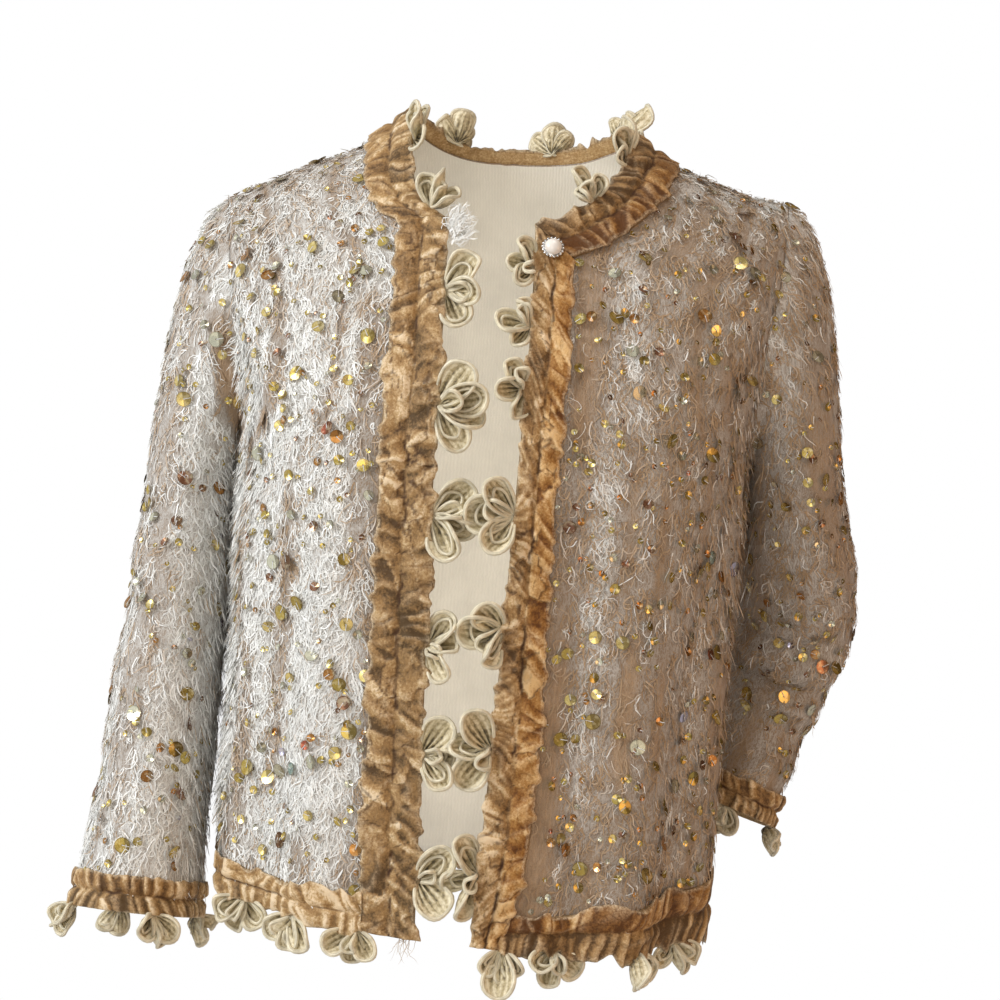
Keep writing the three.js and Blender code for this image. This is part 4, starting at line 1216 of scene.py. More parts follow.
def back_panel():
    low_rows, yoke_rows, *crowding = PANEL_STEPS["back"]
    rows, laterals = low_rows + yoke_rows + 1, back_laterals(*crowding)
    tops = np.array([top_of_back(lateral) for lateral in laterals])
    columns = len(laterals)

    def where(down, across):
        down, across = np.broadcast_arrays(down, across)
        lateral, top = (np.interp(across * (columns - 1), np.arange(columns), v) for v in (laterals, tops))
        r = (1 - down) * (rows - 1)
        level = mix(2 - HEM_TUCK, BACK_YOKE, np.clip(r / low_rows, 0, 1))
        share = np.clip(1 - (r - low_rows) / yoke_rows, 0, 1) ** SHOULDER_CROWD
        drop = np.where(r <= low_rows, level, mix(top, BACK_YOKE, share))
        turn = 180 - np.abs(outer_turn("back", drop) * lateral)
        return np.where(lateral < 0, -turn, turn), drop

    return Panel("back", rows, columns, where, body_point, body_axes)


def sleeve_panel(side):
    share = 1 - TUCK / arm_length(side) * (1 - CAP_SHARE)

    def point(down, around):
        return sleeve_point(side, down * share, around)

    def axes(down, around):
        return sleeve_axes(side, down * share, around)

    return Panel(f"sleeve_{side}", *PANEL_STEPS["sleeve"], floats, point, axes, loop=True)


def front_trim_turn(side, drop):
    """The turn of the trim's outer edge on a front, at any drop."""
    x = edge_x(side, np.maximum(drop, 0.5)) + SIDES[side] * front_width_at(side, drop)
    below = np.abs(turn_at_x(x, drop))
    first, last = (0, RIDGE_ROW["right"] + 1) if side == "right" else (RIDGE_ROW["left"], LAST_NECK_ROW + 1)
    turns, drops = NECK_EDGES["out_turn"][first:last], NECK_EDGES["out_drop"][first:last]
    order = np.argsort(drops)
    neck = np.abs(np.interp(drop, drops[order], turns[order]))
    return SIDES[side] * np.where(drop > drops.max(), below, np.maximum(below, neck))


def under_trim(panel, down, across, margin):
    """Whether a place lies under a ribbon or within margin mm of one."""
    a, b = panel.where(down, across)
    if panel.loop:
        return down > 1 - (CUFF_RIBBON - TUCK + margin) / panel.long
    hem = 2 - (read(RIBBON_WIDTH["hem"], "place", "width", a % 360) + margin) / (UNDERARM_Z - HEM_Z)
    if panel.name != "back":
        trim = front_trim_turn(panel.name.removeprefix("front_"), b)
        return (b > hem) | (np.abs(a) < np.abs(trim) + margin / MM_A_DEGREE)
    rows = slice(RIDGE_ROW["right"], RIDGE_ROW["left"] + 1)
    turns, drops = NECK_EDGES["out_turn"][rows], -NECK_EDGES["out_drop"][rows]
    neck = np.interp(np.sign(a) * (180 - np.abs(a)), turns, drops, left=-1, right=-1)
    return (b > hem) | (b < neck + margin / NECK_FALL)


# How thickly fringe covers each panel, and how much of that its bald streaks take away.
THICK = {
    "front_right": (1.0, 0.65),
    "front_left": (0.4, 0.3),
    "back": (0.85, 0.4),
    "sleeve_right": (1.0, 0.5),
    "sleeve_left": (0.42, 0.3),
}
STREAKS = Drift(17)
STREAK_WIDTH, STREAK_LENGTH = 10, 110
SLEEVE_STREAKS, SLEEVE_STREAK_LENGTH = 3.4, 150  # round a sleeve the noise is read on a circle
GAP = {"x": -190.5, "z": (-176, -178), "lean": 0.2, "width": 8.5, "height": 48, "share": 0.95}


def armhole_gap(spot):
    """Where the right sleeve's cloth shows bare beside the body, from 0 to 1."""
    x, z = spot[..., 0], spot[..., 2]
    aside = (x - GAP["x"] + GAP["lean"] * (z - GAP["z"][0])) / GAP["width"]
    return np.exp(-(aside**4) - (((z - GAP["z"][1]) / GAP["height"]) ** 6)) * (spot[..., 1] < 0)


def cover_at(panel, down, across):
    """How thickly the fringe covers the cloth, from 0 to 1."""
    a, b = panel.where(down, across)
    seed = 30.0 * list(FRINGE).index(panel.name)
    if panel.loop:  # a circle in the noise meets itself
        turn = across * math.tau
        x, y = seed + np.cos(turn) * SLEEVE_STREAKS + 9, np.sin(turn) * SLEEVE_STREAKS
        bands = STREAKS(x, y + down * panel.long / SLEEVE_STREAK_LENGTH)
    else:
        bands = STREAKS(seed + across * panel.wide / STREAK_WIDTH, down * panel.long / STREAK_LENGTH)
    most, lost = THICK[panel.name]
    cover = most - lost * np.clip((bands - 0.12) / 0.34, 0, 1)
    if panel.name == "front_right":
        beside, top = swell(across - 0.145, 0.02), np.clip(1 - b / 0.9, 0, 1)
        cover = cover * (1 - 0.5 * beside) * (1 - 0.6 * top)
    if panel.name == "front_left":
        bald = np.exp(-(((a - 22) / 19) ** 2) - ((b - 1.75) / 0.55) ** 2)
        # A fold down the front that catches the light: more strands there, and both they and the ground
        # painted lighter.
        ridge = swell(a - 31, 4.5) * np.clip((b - 0.5) * 4, 0, 1)
        shoulder = 0.2 * np.clip(0.9 - b, 0, 1) + 1.2 * np.clip(0.4 - b, 0, 1)
        return np.clip(cover - 0.38 * bald + shoulder + 0.55 * ridge, 0.04, 1)
    if panel.name == "back":
        return cover - 0.35 * np.clip((150 - a) / 45, 0, 1)
    if panel.name == "sleeve_left":
        return cover + 0.45 * np.clip(1 - down / 0.25, 0, 1)
    return cover * (1 - GAP["share"] * armhole_gap(panel.place(down, across)))


def make_cloth(panel, finishes):
    name, (rows, columns) = f"{panel.name}_cloth", panel.grid.shape[:2]
    points, faces, kinds = shell(panel.grid, panel.inner(), panel.loop)
    uv = arc_uv(panel.closed)[:, :columns].reshape(-1, 2)
    cover = np.broadcast_to(cover_at(panel, *panel.shares), (rows, columns)).ravel()
    values = {"cover": np.concatenate([cover, 0 * cover])}
    materials = [finishes["cloth"], finishes["wrong"]]
    mesh = mesh_of(name, points, faces, materials, [kinds], np.concatenate([uv, uv]), values)
    return link(name, mesh, [panel.name])


# ---------------- fringe

LASH_SEGMENTS = 5


def link_lashes(name, rng, base, axes, sizes, finish, lean=0.0, spread=0.27, curl=(0.22, 3.3)):
    """A piece of flat, tapering strands, each falling its own way and hooking at its tip.

    axes are the ways down and out at each base, and sizes are the lengths, widths and tones with
    painted shade.
    """
    (down, out), (length, width, tone), count = axes, sizes, len(base)
    side = np.cross(out, down)

    def roll(low, high):
        return rng.uniform(low, high, (count, 1))

    ahead = down * roll(0.6, 1.0) + out * roll(0.01, 0.16)
    start = unit(ahead + side * (lean + rng.normal(0, spread, (count, 1))))
    bend = down * roll(-0.3, 0.3) + out * roll(-0.28, 0.06) + side * rng.choice([-1.0, 1.0], (count, 1))
    bend = unit(bend - (bend * start).sum(1, keepdims=True) * start)
    total, hook, kink = mix(*curl, rng.random((count, 1)) ** 1.5), roll(0.8, 2.4), roll(-0.9, 0.9)
    path, ways = [base], []
    for k in range(LASH_SEGMENTS):
        share = (k + 0.5) / LASH_SEGMENTS
        angle = total * (share**hook - 0.25) + kink * math.sin(math.tau * share)
        way = np.cos(angle) * start + np.sin(angle) * bend
        ways.append(way)
        path.append(path[-1] + way * length[:, None] / LASH_SEGMENTS)
    face = unit(out + rng.normal(0, 0.4, (count, 3)))
    columns = []
    for k in range(LASH_SEGMENTS):
        flat = unit(np.cross(ways[k], face)) * (width * (1 - 0.45 * k / LASH_SEGMENTS))[:, None] / 2
        columns += [path[k] - flat, path[k] + flat]
    columns.append(path[-1])
    points = np.stack(columns, 1)
    each = points.shape[1]
    first = (np.arange(count) * each)[:, None]
    quads = [first + np.array([2 * k, 2 * k + 1, 2 * k + 3, 2 * k + 2]) for k in range(LASH_SEGMENTS - 1)]
    tips = first + np.array([each - 3, each - 2, each - 1])
    cells = math.ceil(math.sqrt(count))
    corner = np.stack([np.arange(count) % cells, np.arange(count) // cells], 1)[:, None, :]
    rise = np.array([[k % 2, k // 2 / LASH_SEGMENTS] for k in range(each - 1)] + [[0.5, 1.0]])
    uv = (corner + 0.1 + 0.8 * rise[None]) / cells
    faces, values = [np.concatenate(quads), tips], {"tone": np.repeat(tone, each)}
    mesh = mesh_of(name, points.reshape(-1, 3), faces, [finish], uv=uv.reshape(-1, 2), values=values)
    mesh.uv_layers[0].name = "OFBake"
    return link(name, mesh)


FRINGE = {
    # strands, the seed of all that is random on the panel, how light the strands are painted (low where
    # painted shade falls, on the wearer's left), and how far down those between the body and a sleeve
    # stand out
    "front_right": (17000, 41, 0.72, -535),
    "front_left": (9400, 42, 0.27, -420),
    "back": (9500, 43, 0.62, -450),
    "sleeve_right": (14700, 44, 0.67, -560),
    "sleeve_left": (8700, 45, 0.08, -450),
}
TUFT_STRANDS, TUFT_SPREAD = 3, 0.9  # how many strands hang together, and how far apart (mm)
IN_A_ROW, ROW_SPREAD = 0.6, 0.16  # the share of tufts sewn in a row, and how far they stray from it
FLANK_TOP = -150
STRAND_SEAT = 0.2
EDGE_LAP, FRINGE_LAP = -6.0, -3.0  # how far strands may start, and lie, beneath a ribbon


def make_fringe(panel, settings, finishes):
    """Rows of curled strands that run down the panel."""
    count, seed, painted_light, flank_foot = FRINGE[panel.name]
    rng, clump = np.random.default_rng(seed), Drift(seed)
    rows = max(1, round(panel.wide / (settings.row_pitch / MM)))

    def weight(down, across):
        return cover_at(panel, down, across) * np.where(under_trim(panel, down, across, EDGE_LAP), 0, 1)

    down, across = panel.scatter(rng, count, weight)
    tuft = np.arange(count) // TUFT_STRANDS * TUFT_STRANDS  # each strand's first neighbour
    down = np.clip(down[tuft] + rng.normal(0, TUFT_SPREAD, count) / panel.long, 0.002, 0.998)
    across = across[tuft]
    gathered = (np.floor(across * rows) + 0.5 + rng.normal(0, ROW_SPREAD, count)) / rows
    across = np.where(rng.random(count)[tuft] < IN_A_ROW, gathered[tuft], across)
    across = across + rng.normal(0, TUFT_SPREAD, count) / panel.wide
    across = across % 1 if panel.loop else np.clip(across, 0.002, 0.998)
    lean = rng.normal(0, 0.26, count)[tuft]
    shown = ~under_trim(panel, down, across, FRINGE_LAP)
    down, across, lean = down[shown], across[shown], lean[shown]
    count = len(down)
    base = panel.place(down, across)
    fall, out = panel.axes(down, across)
    thick = clump(down * 38, across * rows)
    length = settings.fringe_length / MM * (1 + 0.3 * thick + rng.normal(0, 0.28, count)).clip(0.4, 1.9)
    width = settings.fringe_width / MM * rng.uniform(0.5, 1.3, count)
    # Painted shade and tone: the panel's painted light, painted lighter where the fringe lies thick, and
    # varied at random by clump and strand.
    tone = 0.5 * painted_light + 0.75 * (cover_at(panel, down, across) - 0.3)
    tone = tone + 0.38 * clump(down * 60 + 40, across * rows * 1.5) + rng.normal(0, 0.21, count)
    lean = (lean + 0.45 * clump(down * 24 + 80, across * rows * 0.6))[:, None]
    # Strands on a flank lie over towards the front.
    facing = out[:, 0] * np.sign(base[:, 0]) * (-1 if panel.loop else 1)
    level = (base[:, 2] < FLANK_TOP) & (base[:, 2] > flank_foot) & (out[:, 1] < 0.3)
    flank = np.clip((facing - 0.72) / 0.2, 0, 1) * rng.random(count) * level
    over = np.stack([0.3 * np.sign(out[:, 0]), 0 * flank - 0.7, 0 * flank], 1)
    fall = unit(fall + flank[:, None] * over)
    sizes = length * (1 + 0.25 * flank), width, np.clip(tone, 0, 1)
    name, base = f"{panel.name}_fringe", base + out * STRAND_SEAT
    return link_lashes(name, rng, base, (fall, out), sizes, finishes["lashes"], lean=lean)


# ---------------- sequins

SEQUIN_KINDS = {
    # radius, spread of radius, radius of its hole, how far its rim stands up, how far it is bent, sides
    "large": (4.6, 0.8, 0.6, 0.25, 0.5, 18),
    "cup": (3.1, 0.6, 0.5, 0.75, 0.3, 12),
    "ring": (1.9, 0.35, 0.55, 0.25, 0.1, 8),
}
SEQUINS = {
    "front_right": {"large": 64, "cup": 125, "ring": 260},
    "front_left": {"large": 60, "cup": 160, "ring": 360},
    "back": {"large": 105, "cup": 210, "ring": 420},
    "sleeve_right": {"large": 66, "cup": 130, "ring": 260},
    "sleeve_left": {"large": 60, "cup": 150, "ring": 300},
}
SEQUIN_TINTS = (
    # share of the discs, then the foil's colour
    (0.38, (0.58, 0.43, 0.1)),
    (0.2, (0.92, 0.72, 0.25)),
    (0.12, (0.55, 0.25, 0.06)),
    (0.1, (0.3, 0.14, 0.08)),
    (0.14, (0.66, 0.65, 0.5)),
    (0.012, (0.66, 0.64, 0.85)),
    (0.008, (0.55, 0.78, 0.78)),
    (0.006, (0.5, 0.14, 0.08)),
)


def apart(points, gap):
    """Which of the points lie at least gap mm from every one kept before them."""
    kept = []
    for i, point in enumerate(points):
        if not kept or np.linalg.norm(points[kept] - point, axis=1).min() > gap:
            kept.append(i)
    return np.array(kept)


def make_sequins(panel, finishes):
    """Discs with centre holes, each tipped its own way and held by a bar of thread."""
    rng = np.random.default_rng(FRINGE[panel.name][1] + 100)
    shares = np.array([share for share, _ in SEQUIN_TINTS])
    colours = np.array([colour for _, colour in SEQUIN_TINTS])
    cells = math.ceil(math.sqrt(sum(SEQUINS[panel.name].values())))
    parts, done, taken = Parts(), 0, np.zeros((0, 3))

    def weight(down, across):
        return np.where(under_trim(panel, down, across, 0.0), 0.0, 1.0)

    for kind, count in SEQUINS[panel.name].items():
        radius, vary, hole, rim, bent, sides = SEQUIN_KINDS[kind]
        down, across = panel.scatter(rng, count, weight)
        clear = ~under_trim(panel, down, across, radius * 0.7)
        down, across = down[clear], across[clear]
        clear = apart(np.concatenate([taken, panel.place(down, across)]), radius * 1.7)
        clear = clear[clear >= len(taken)] - len(taken)
        down, across = down[clear], across[clear]
        count = len(down)
        place = panel.place(down, across)
        taken = np.concatenate([taken, place])
        fall, out = panel.axes(down, across)
        side = np.cross(out, fall)
        settled = np.clip(1.5 * np.abs(out[:, 1:2]), 0.3, 1)  # discs on a flank lie closer to the cloth
        tip = rng.normal(0, 0.26, (2, count, 1)) * settled
        normal = unit(out + fall * (tip[0] - 0.12) + side * tip[1])
        x = unit(np.cross(normal, fall + 0.3 * side))
        y = np.cross(normal, x)
        centre = place + out * rng.uniform(1.6, 3.6, (count, 1)) * settled
        size = radius + rng.uniform(-vary, vary, (count, 1, 1))
        turns = np.linspace(0, math.tau, sides, endpoint=False)
        angle = (turns + rng.uniform(0, 6, (count, 1)))[..., None]
        flat = np.concatenate([np.cos(angle), np.sin(angle)], 2)
        spoke = flat[..., :1] * x[:, None] + flat[..., 1:] * y[:, None]
        bend = rng.uniform(-bent, bent, (count, 1, 1)) * np.cos(2 * angle)
        outer = centre[:, None] + spoke * size + normal[:, None] * (rim + bend)
        points = np.concatenate([outer, centre[:, None] + spoke * hole], 1)
        ring = np.arange(sides)
        nxt = (ring + 1) % sides
        quads = np.stack([ring, nxt, nxt + sides, ring + sides], 1)
        faces = (np.arange(count)[:, None, None] * (2 * sides) + quads).reshape(-1, 4)
        tint = colours[rng.choice(len(shares), count, p=shares / shares.sum())]
        tint = np.concatenate([tint * rng.uniform(0.7, 1.2, (count, 1)), np.ones((count, 1))], 1)
        spin = np.concatenate([flat, 0 * angle + rng.uniform(0, 50, (count, 1, 1))], 2)
        spin = np.concatenate([spin, spin * np.array([hole / radius, hole / radius, 1])], 1)
        number = done + np.arange(count)
        corner = np.stack([number % cells, number // cells], 1)[:, None, :]
        uv = (corner + np.concatenate([0.5 + 0.42 * flat, 0.5 + 0.42 * flat * hole / radius], 1)) / cells
        values = {"tint": np.repeat(tint, 2 * sides, 0), "spin": spin.reshape(-1, 3)}
        parts.add(points, [faces], 0, uv, **values)
        # The bar of thread, from the hole over one edge.
        way = unit(spoke[:, 0])
        flank = np.cross(normal, way) * 0.26
        start, end = centre + normal * 0.3, centre + way * size[:, 0] + normal * (rim + 0.35)
        bar = np.stack([start - flank, start + flank, end + flank * 0.7, end - flank * 0.7], 1)
        uv = (corner + np.array([[0.46, 0.46], [0.54, 0.46], [0.54, 0.54], [0.46, 0.54]])) / cells
        faces = np.arange(count * 4).reshape(-1, 4)
        values = {"tint": np.tile([0.8, 0.8, 0.8, 1], (count * 4, 1)), "spin": np.zeros((count * 4, 3))}
        parts.add(bar, [faces], 1, uv, **values)
        done += count
    mesh = parts.mesh(f"{panel.name}_sequins", [finishes["foil"], finishes["thread"]])
    mesh.uv_layers[0].name = "OFBake"
    return link(mesh.name, mesh)


# ---------------- velvet ribbon

RIBBON_COLUMNS = 27
RIBBON_STEP = 1.15  # between two rows of points along a ribbon


class Facets:
    """Seeded cells over a plane, each about a unit across, as crumpled cloth breaks into."""

    def __init__(self, seed, size=128):
        self.size = size
        self.cells = np.random.default_rng(seed).random((size, size, 4))

    def __call__(self, x, y):
        """How far a place lies from its cell's edge, its cell's own number and its cell's tilt there."""
        x, y = np.broadcast_arrays(x, y)
        i, j = np.floor(x).astype(int), np.floor(y).astype(int)
        first, second, own, tilt = (np.full(x.shape, v) for v in (9.0, 9.0, 0.0, 0.0))
        for a in (-1, 0, 1):
            for b in (-1, 0, 1):
                cell = self.cells[(i + a) % self.size, (j + b) % self.size]
                dx, dy = x - i - a - cell[..., 0], y - j - b - cell[..., 1]
                away = np.hypot(dx, dy)
                closer = away < first
                second = np.where(closer, first, np.minimum(second, away))
                first = np.where(closer, away, first)
                own = np.where(closer, cell[..., 2], own)
                way = math.tau * cell[..., 3]
                tilt = np.where(closer, dx * np.cos(way) + 0.5 * dy * np.sin(way), tilt)
        return second - first, own, tilt


def pleat_profile(share, turned, steep):
    """A pleat's rise from 0 to 1 and back: long on one side and steep on the other."""
    share = np.where(turned, 1 - share, share)
    return np.where(share < 1 - steep, (share / (1 - steep)) ** 1.25, np.clip((1 - share) / steep, 0, 1))


def gathers(look, s, a, width):
    """A gathered ribbon at s mm along and a across.

    It gives the height, how far a fold has toppled along the ribbon, and the painted shade, painted sheen
    and painted highlights of its pile.
    """
    seed, _, _, pitches, slant, _, _, pleated = look
    flat = 1 - pleated
    pleats = np.random.default_rng(seed).random((5, 2, 1024))
    slow, crumple, fine = Drift(seed + 1), Drift(seed + 2), Drift(seed + 3)
    puff = (a > 0.5).astype(int)
    pitch = np.where(puff, pitches[1], pitches[0])
    seam = 0.5 + 0.035 * slow(s / 9 + 3, 2.0) + 0.02 * slow(s / 3.5 + 13, 2.0)
    from_seam = a - seam
    reach = np.abs(from_seam) * 2  # 0 at the stitches, 1 at the edges
    lean = slant * slow(s / 41 + 20, puff * 5.0 + 3)
    askew = np.sqrt(1 + lean**2)
    # The pleats, each with a depth, a way it lies, a painted sheen of its pile and a taper of its own.
    at = (s + 9 * slow(s / 27, puff * 7.0) + lean * reach * width / 2) / pitch + 300
    at = at + 0.3 * crumple(s / 9 + 60, a * width / 9)
    which = np.floor(at).astype(int) % 1024
    share = at - np.floor(at)
    depth, turned, nap_sheen, kept, taper = (pleats[i, puff, which] for i in range(5))
    turned = turned < 0.4
    depth = np.where(kept < 0.15, 0.15, 0.4 + 0.6 * depth)
    depth = depth * mix(1, np.where(taper < 0.5, reach, 1.1 - reach), 0.6 * np.abs(taper * 2 - 1) ** 0.5)
    rise = pleat_profile(share, turned, np.clip(1.8 * askew / pitch, 0.1, 0.5))
    from_foot = np.where(turned, share, 1 - share) * pitch / askew
    # The facets between them, where the cloth is crumpled flat.
    bent = 0.35 * crumple(s / 7 + 30, a * width / 7) + 0.12 * fine(s / 3 + 50, a * width / 3)
    across = from_seam * width / 12.5 + puff * 9.0 + 40 + 0.8 * bent
    along = s / 21 + 0.35 * lean * from_seam * width / 10 + 0.9 * bent + puff * 0.43
    edge, own, tilt = Facets(seed + 4)(along, across)
    plate = flat * (1.6 * np.clip(edge / 0.3, 0, 1) ** 0.6 + 2.7 * tilt + 0.8 * own)
    depth = depth * (0.25 + 0.75 * pleated)
    # The puffs' round form, drawn in at the stitches and at the rims.
    rim = np.clip((1 - reach) / 0.16, 0, 1)
    crown = (0.35 + 0.65 * np.clip(reach / 0.32, 0, 1)) * (0.62 + 0.38 * np.sin(rim * math.pi / 2))
    stitch = swell(from_seam * width, 1.2)
    pucker = np.abs(fine(s / 2.8, puff * 9.0 + reach)) * swell(reach, 0.5)
    soft = crumple(s / 6.5 + 40, a * width / 6.5) + 0.5 * fine(s / 3.2 + 80, a * width / 3.2)
    round_form = 0.9 + 0.8 * (0.5 + 0.5 * slow(s / 13 + 70, puff * 3 + 11))
    height = 0.8 + crown * (round_form + 5.2 * depth * rise + plate + 0.3 * soft) + 0.7 * pucker
    height = np.maximum(height * (1 - 0.55 * stitch), 0.4)
    topple = np.where(turned, -1, 1) * 1.5 * depth * rise**2 * crown / askew
    # Painted light on the pile: painted shade in the folds, at the facets' edges and by the stitches,
    # painted highlights on the crests, and a painted sheen of its own on each pleat or facet.
    fold_shade = 1.1 * np.clip(2.4 * depth - 1.1, 0, 1) * swell(from_foot, 1.1)
    facet_edge_shade = flat * swell(edge, 0.11) * np.clip(2.0 * own - 0.1, 0, 1.4)
    drawn = stitch * np.clip(0.45 + 0.9 * slow(s / 11 + 90), 0.1, 0.95)
    fold = np.clip(1 - fold_shade - facet_edge_shade, 0, 1) * (1 - drawn)
    # Painted highlights on the pleats' crests and on one edge of each facet.
    lit = depth * swell(from_foot - 2.2, 1.2) * np.clip(reach * 3, 0.3, 1)
    lit = lit + flat * swell(edge - 0.2, 0.09) * np.clip(2.2 * tilt, 0, 1)
    # Painted sheen: each pleat or facet lighter or darker by its own number, up a pleat's rise and to one
    # side of a facet.
    facet = pleated * (0.9 * (nap_sheen - 0.5) + 0.3 * (rise - 0.5)) + flat * (0.8 * (own - 0.5) + 0.9 * tilt)
    return height, topple, fold, np.clip(0.5 + facet, 0, 1), lit


def softened(values):
    """Values on a grid, each averaged with its neighbours."""
    for axis in (-2, -1):
        steps = [(0, 0)] * values.ndim
        steps[axis] = (1, 1)
        padded = np.moveaxis(np.pad(values, steps, mode="edge"), axis, 0)
        values = np.moveaxis((padded[:-2] + 2 * padded[1:-1] + padded[2:]) / 4, 0, axis)
    return values


def relief_of(height):
    """How far each place on a ribbon stands above the folds before and after it, and its slope, from 0 to 1:
    painted light on rises and one slope, painted shade in hollows.
    """
    reach = 5
    padded = np.pad(height, [(reach, reach), (0, 0)], mode="edge")
    around = np.lib.stride_tricks.sliding_window_view(padded, 2 * reach + 1, axis=0).mean(-1)
    slope = np.gradient(height, axis=0) / RIBBON_STEP
    return np.clip(0.56 + 0.36 * np.tanh((height - around) / 0.9) + 0.22 * np.tanh(1.5 * slope), 0, 1)


RIBBON_LOOKS = {
    # The seed, how orange the outer puff is at the ribbon's start and end, how much painted shade darkens it
    # there, the mean distance between the gathers of the inner and the outer puff, how far they lean, how far
    # the ribbon's edges wander, how far they reach past the cloth, and how much of it is drawn in pleats
    # rather than crumpled in flat facets.
    "front_right": (311, (0.1, 0.2), (0.35, 0.2), (11.0, 13.0), 1.4, 0.085, 0.02, 0.42),
    "front_left": (322, (1.0, 1.0), (0.0, -0.2), (6.5, 14.0), 1.4, 0.085, 0.02, 0.42),
    "neck": (333, (0.2, 0.9), (0.3, 1.0), (9.0, 9.5), 0.9, 0.07, 0.02, 0.6),
    "hem": (344, (0.9, 0.15), (1.0, -0.7), (7.5, 8.5), 0.6, 0.2, 0.07, 0.65),
    "cuff_right": (355, (0.35, 0.35), (0.3, 0.3), (6.5, 8.0), 0.6, 0.07, 0.06, 0.7),
    "cuff_left": (366, (0.35, 0.35), (0.3, 0.3), (6.5, 8.0), 0.6, 0.07, 0.06, 0.7),
}
LOOP_JOIN = 14  # a cuff's ribbon turns into its own start over this length
PRESSED_REACH, PRESSED_HEIGHT = 11, 4.2  # round the button


def make_ribbon(key, length, width, point_at, finishes, loop=False, pressed=None):
    """A double-puffed ribbon. point_at(along, across, height) gives its points."""
    look = seed, warm, deep, _, _, waves, spill, _ = RIBBON_LOOKS[key]
    rows = max(24, round(length / RIBBON_STEP))
    along = np.linspace(0, 1, rows, endpoint=not loop)[:, None]
    s, a = np.broadcast_arrays(along * length, np.linspace(0, 1, RIBBON_COLUMNS)[None, :])
    shape = np.stack(gathers(look, s, a, width))
    shape[0] = softened(shape[0])
    # The edges wander, and stand further out where the gathers are high.
    ruffle = Drift(seed + 5)
    side = np.where(a < 0.5, shape[0, :, :1], shape[0, :, -1:]) - 2.2
    frill = waves * ruffle(s / 6.5, np.where(a < 0.5, 0, 40.0)) + 0.02 * ruffle(s / 3, 90.0) + 0.012 * side
    if loop:
        before = np.stack(gathers(look, s - length, a, width))
        ending = np.clip((s - length + LOOP_JOIN) / LOOP_JOIN, 0, 1)
        shape, frill = mix(shape, before, ending), frill * (1 - ending) * np.clip(s / LOOP_JOIN, 0, 1)
    across = a + (swell(a - 1, 0.1) - swell(a, 0.1)) * (frill + spill)
    height, topple, fold, facet, lit = shape
    # Painted light and shade from the relief, with the ribbon's own painted shade along its length.
    level = relief_of(height) - 0.5 * mix(*deep, along)
    if pressed:  # flat beneath a button
        x, y = (s - pressed[0]) / PRESSED_REACH, (a - pressed[1]) * width / PRESSED_REACH
        near = np.exp(-(x**2) - y**2)
        height, topple = mix(height, np.minimum(height, PRESSED_HEIGHT), near), topple * (1 - near)
    along = along + topple / length
    top = point_at(along if loop else np.clip(along, 0, 1), across, RIBBON_SEAT + height)
    below = along[:, [-1, RIBBON_COLUMNS // 2, 0]], np.array([[1.0, 0.5, 0.0]])
    under = point_at(*below, np.full((1, 3), RIBBON_SEAT))
    points, faces = tube(np.concatenate([top, under], 1), wrap=loop)

    def column(values, below):
        """The ribbon's values, with one value for the three rows of points beneath it."""
        beneath = np.pad(values, [(0, 0), (0, 3)], constant_values=below).ravel()
        return np.concatenate([beneath, np.zeros(len(points) - len(beneath))])

    values = {
        "fold": column(fold, 0.95),
        "facet": column(facet, 0.55),
        "fray": column(swell(a - 1, 0.04) + swell(a, 0.04), 0),
        "warm": column(mix(*warm, along) * np.clip((a - 0.45) * 8, 0.25, 1), 0),
        "crest": column(lit, 0),
        "level": column(level, 0.55),
    }
    name, uv = f"velvet_{key}", np.stack([column(s, 0), column(a * width, 0)], 1)
    mesh = mesh_of(name, points, outward(points, faces), [finishes["velvet"]], uv=uv, values=values)
    piece = link(f"{name}_gathers", mesh, [name])


def make_front_ribbon(side, finishes):
    def place(along, across, height):
        return body_out(*front_ribbon_place(side, along, across), height)

    length = steps_of(body_point(*front_ribbon_place(side, np.linspace(0, 1, 200), 0.5))).sum()
    width = float(front_width_at(side, np.linspace(0.5, 2, 60)).mean())
    pressed = (length - 10, 0.46) if side == "left" else None
    make_ribbon(f"front_{side}", length, width, place, finishes, pressed=pressed)


def neck_stations(rows):
    """Places along the neckline that lie equally far apart."""
    fine = np.linspace(0, 1, 400)
    lengths = np.concatenate([[0], np.cumsum(steps_of(body_point(*neck_place(fine, 0.5))))])
    return np.interp(np.linspace(0, lengths[-1], rows), lengths, fine), lengths[-1]


def make_neck_ribbon(finishes):
    stations, length = neck_stations(401)

    def place(along, across, height):
        at = np.interp(along, np.linspace(0, 1, len(stations)), stations)
        return body_out(*neck_place(*np.broadcast_arrays(at, across)), height + NECK_RAISE)

    make_ribbon("neck", length, 31, place, finishes)


def make_hem_ribbon(finishes):
    def place(along, across, height):
        return body_out(*hem_ribbon_place(along, across), height)

    length = steps_of(body_point(*hem_ribbon_place(np.linspace(0, 1, 400), 0.5))).sum()
    make_ribbon("hem", length, 28, place, finishes)


def make_cuff_ribbon(side, finishes):
    share = CUFF_RIBBON / arm_length(side)

    def place(around, across, height):
        return arm_point(side, 1 - share * across, around, height)

    length = steps_of(arm_point(side, 1, np.linspace(0, 1, 120))).sum()
    make_ribbon(f"cuff_{side}", length, CUFF_RIBBON, place, finishes, loop=True)


# ---------------- flowers

PETAL_STEPS = 26
CORD_SIDES = 7
RIM_RADIUS, ROOT_RADIUS, INNER_RADIUS = 1.4, 0.9, 1.15
RIM_LIES = 0.4  # the rim's middle above the flower's plane, at its root
PLEATS = 5  # pairs of gathers across a petal's root
PETAL_ROWS, PETAL_COLUMNS = 9, 19
NESTED, HEART = 0.7, 0.62  # the share of petals with a doubled rim, and the middle petal's size


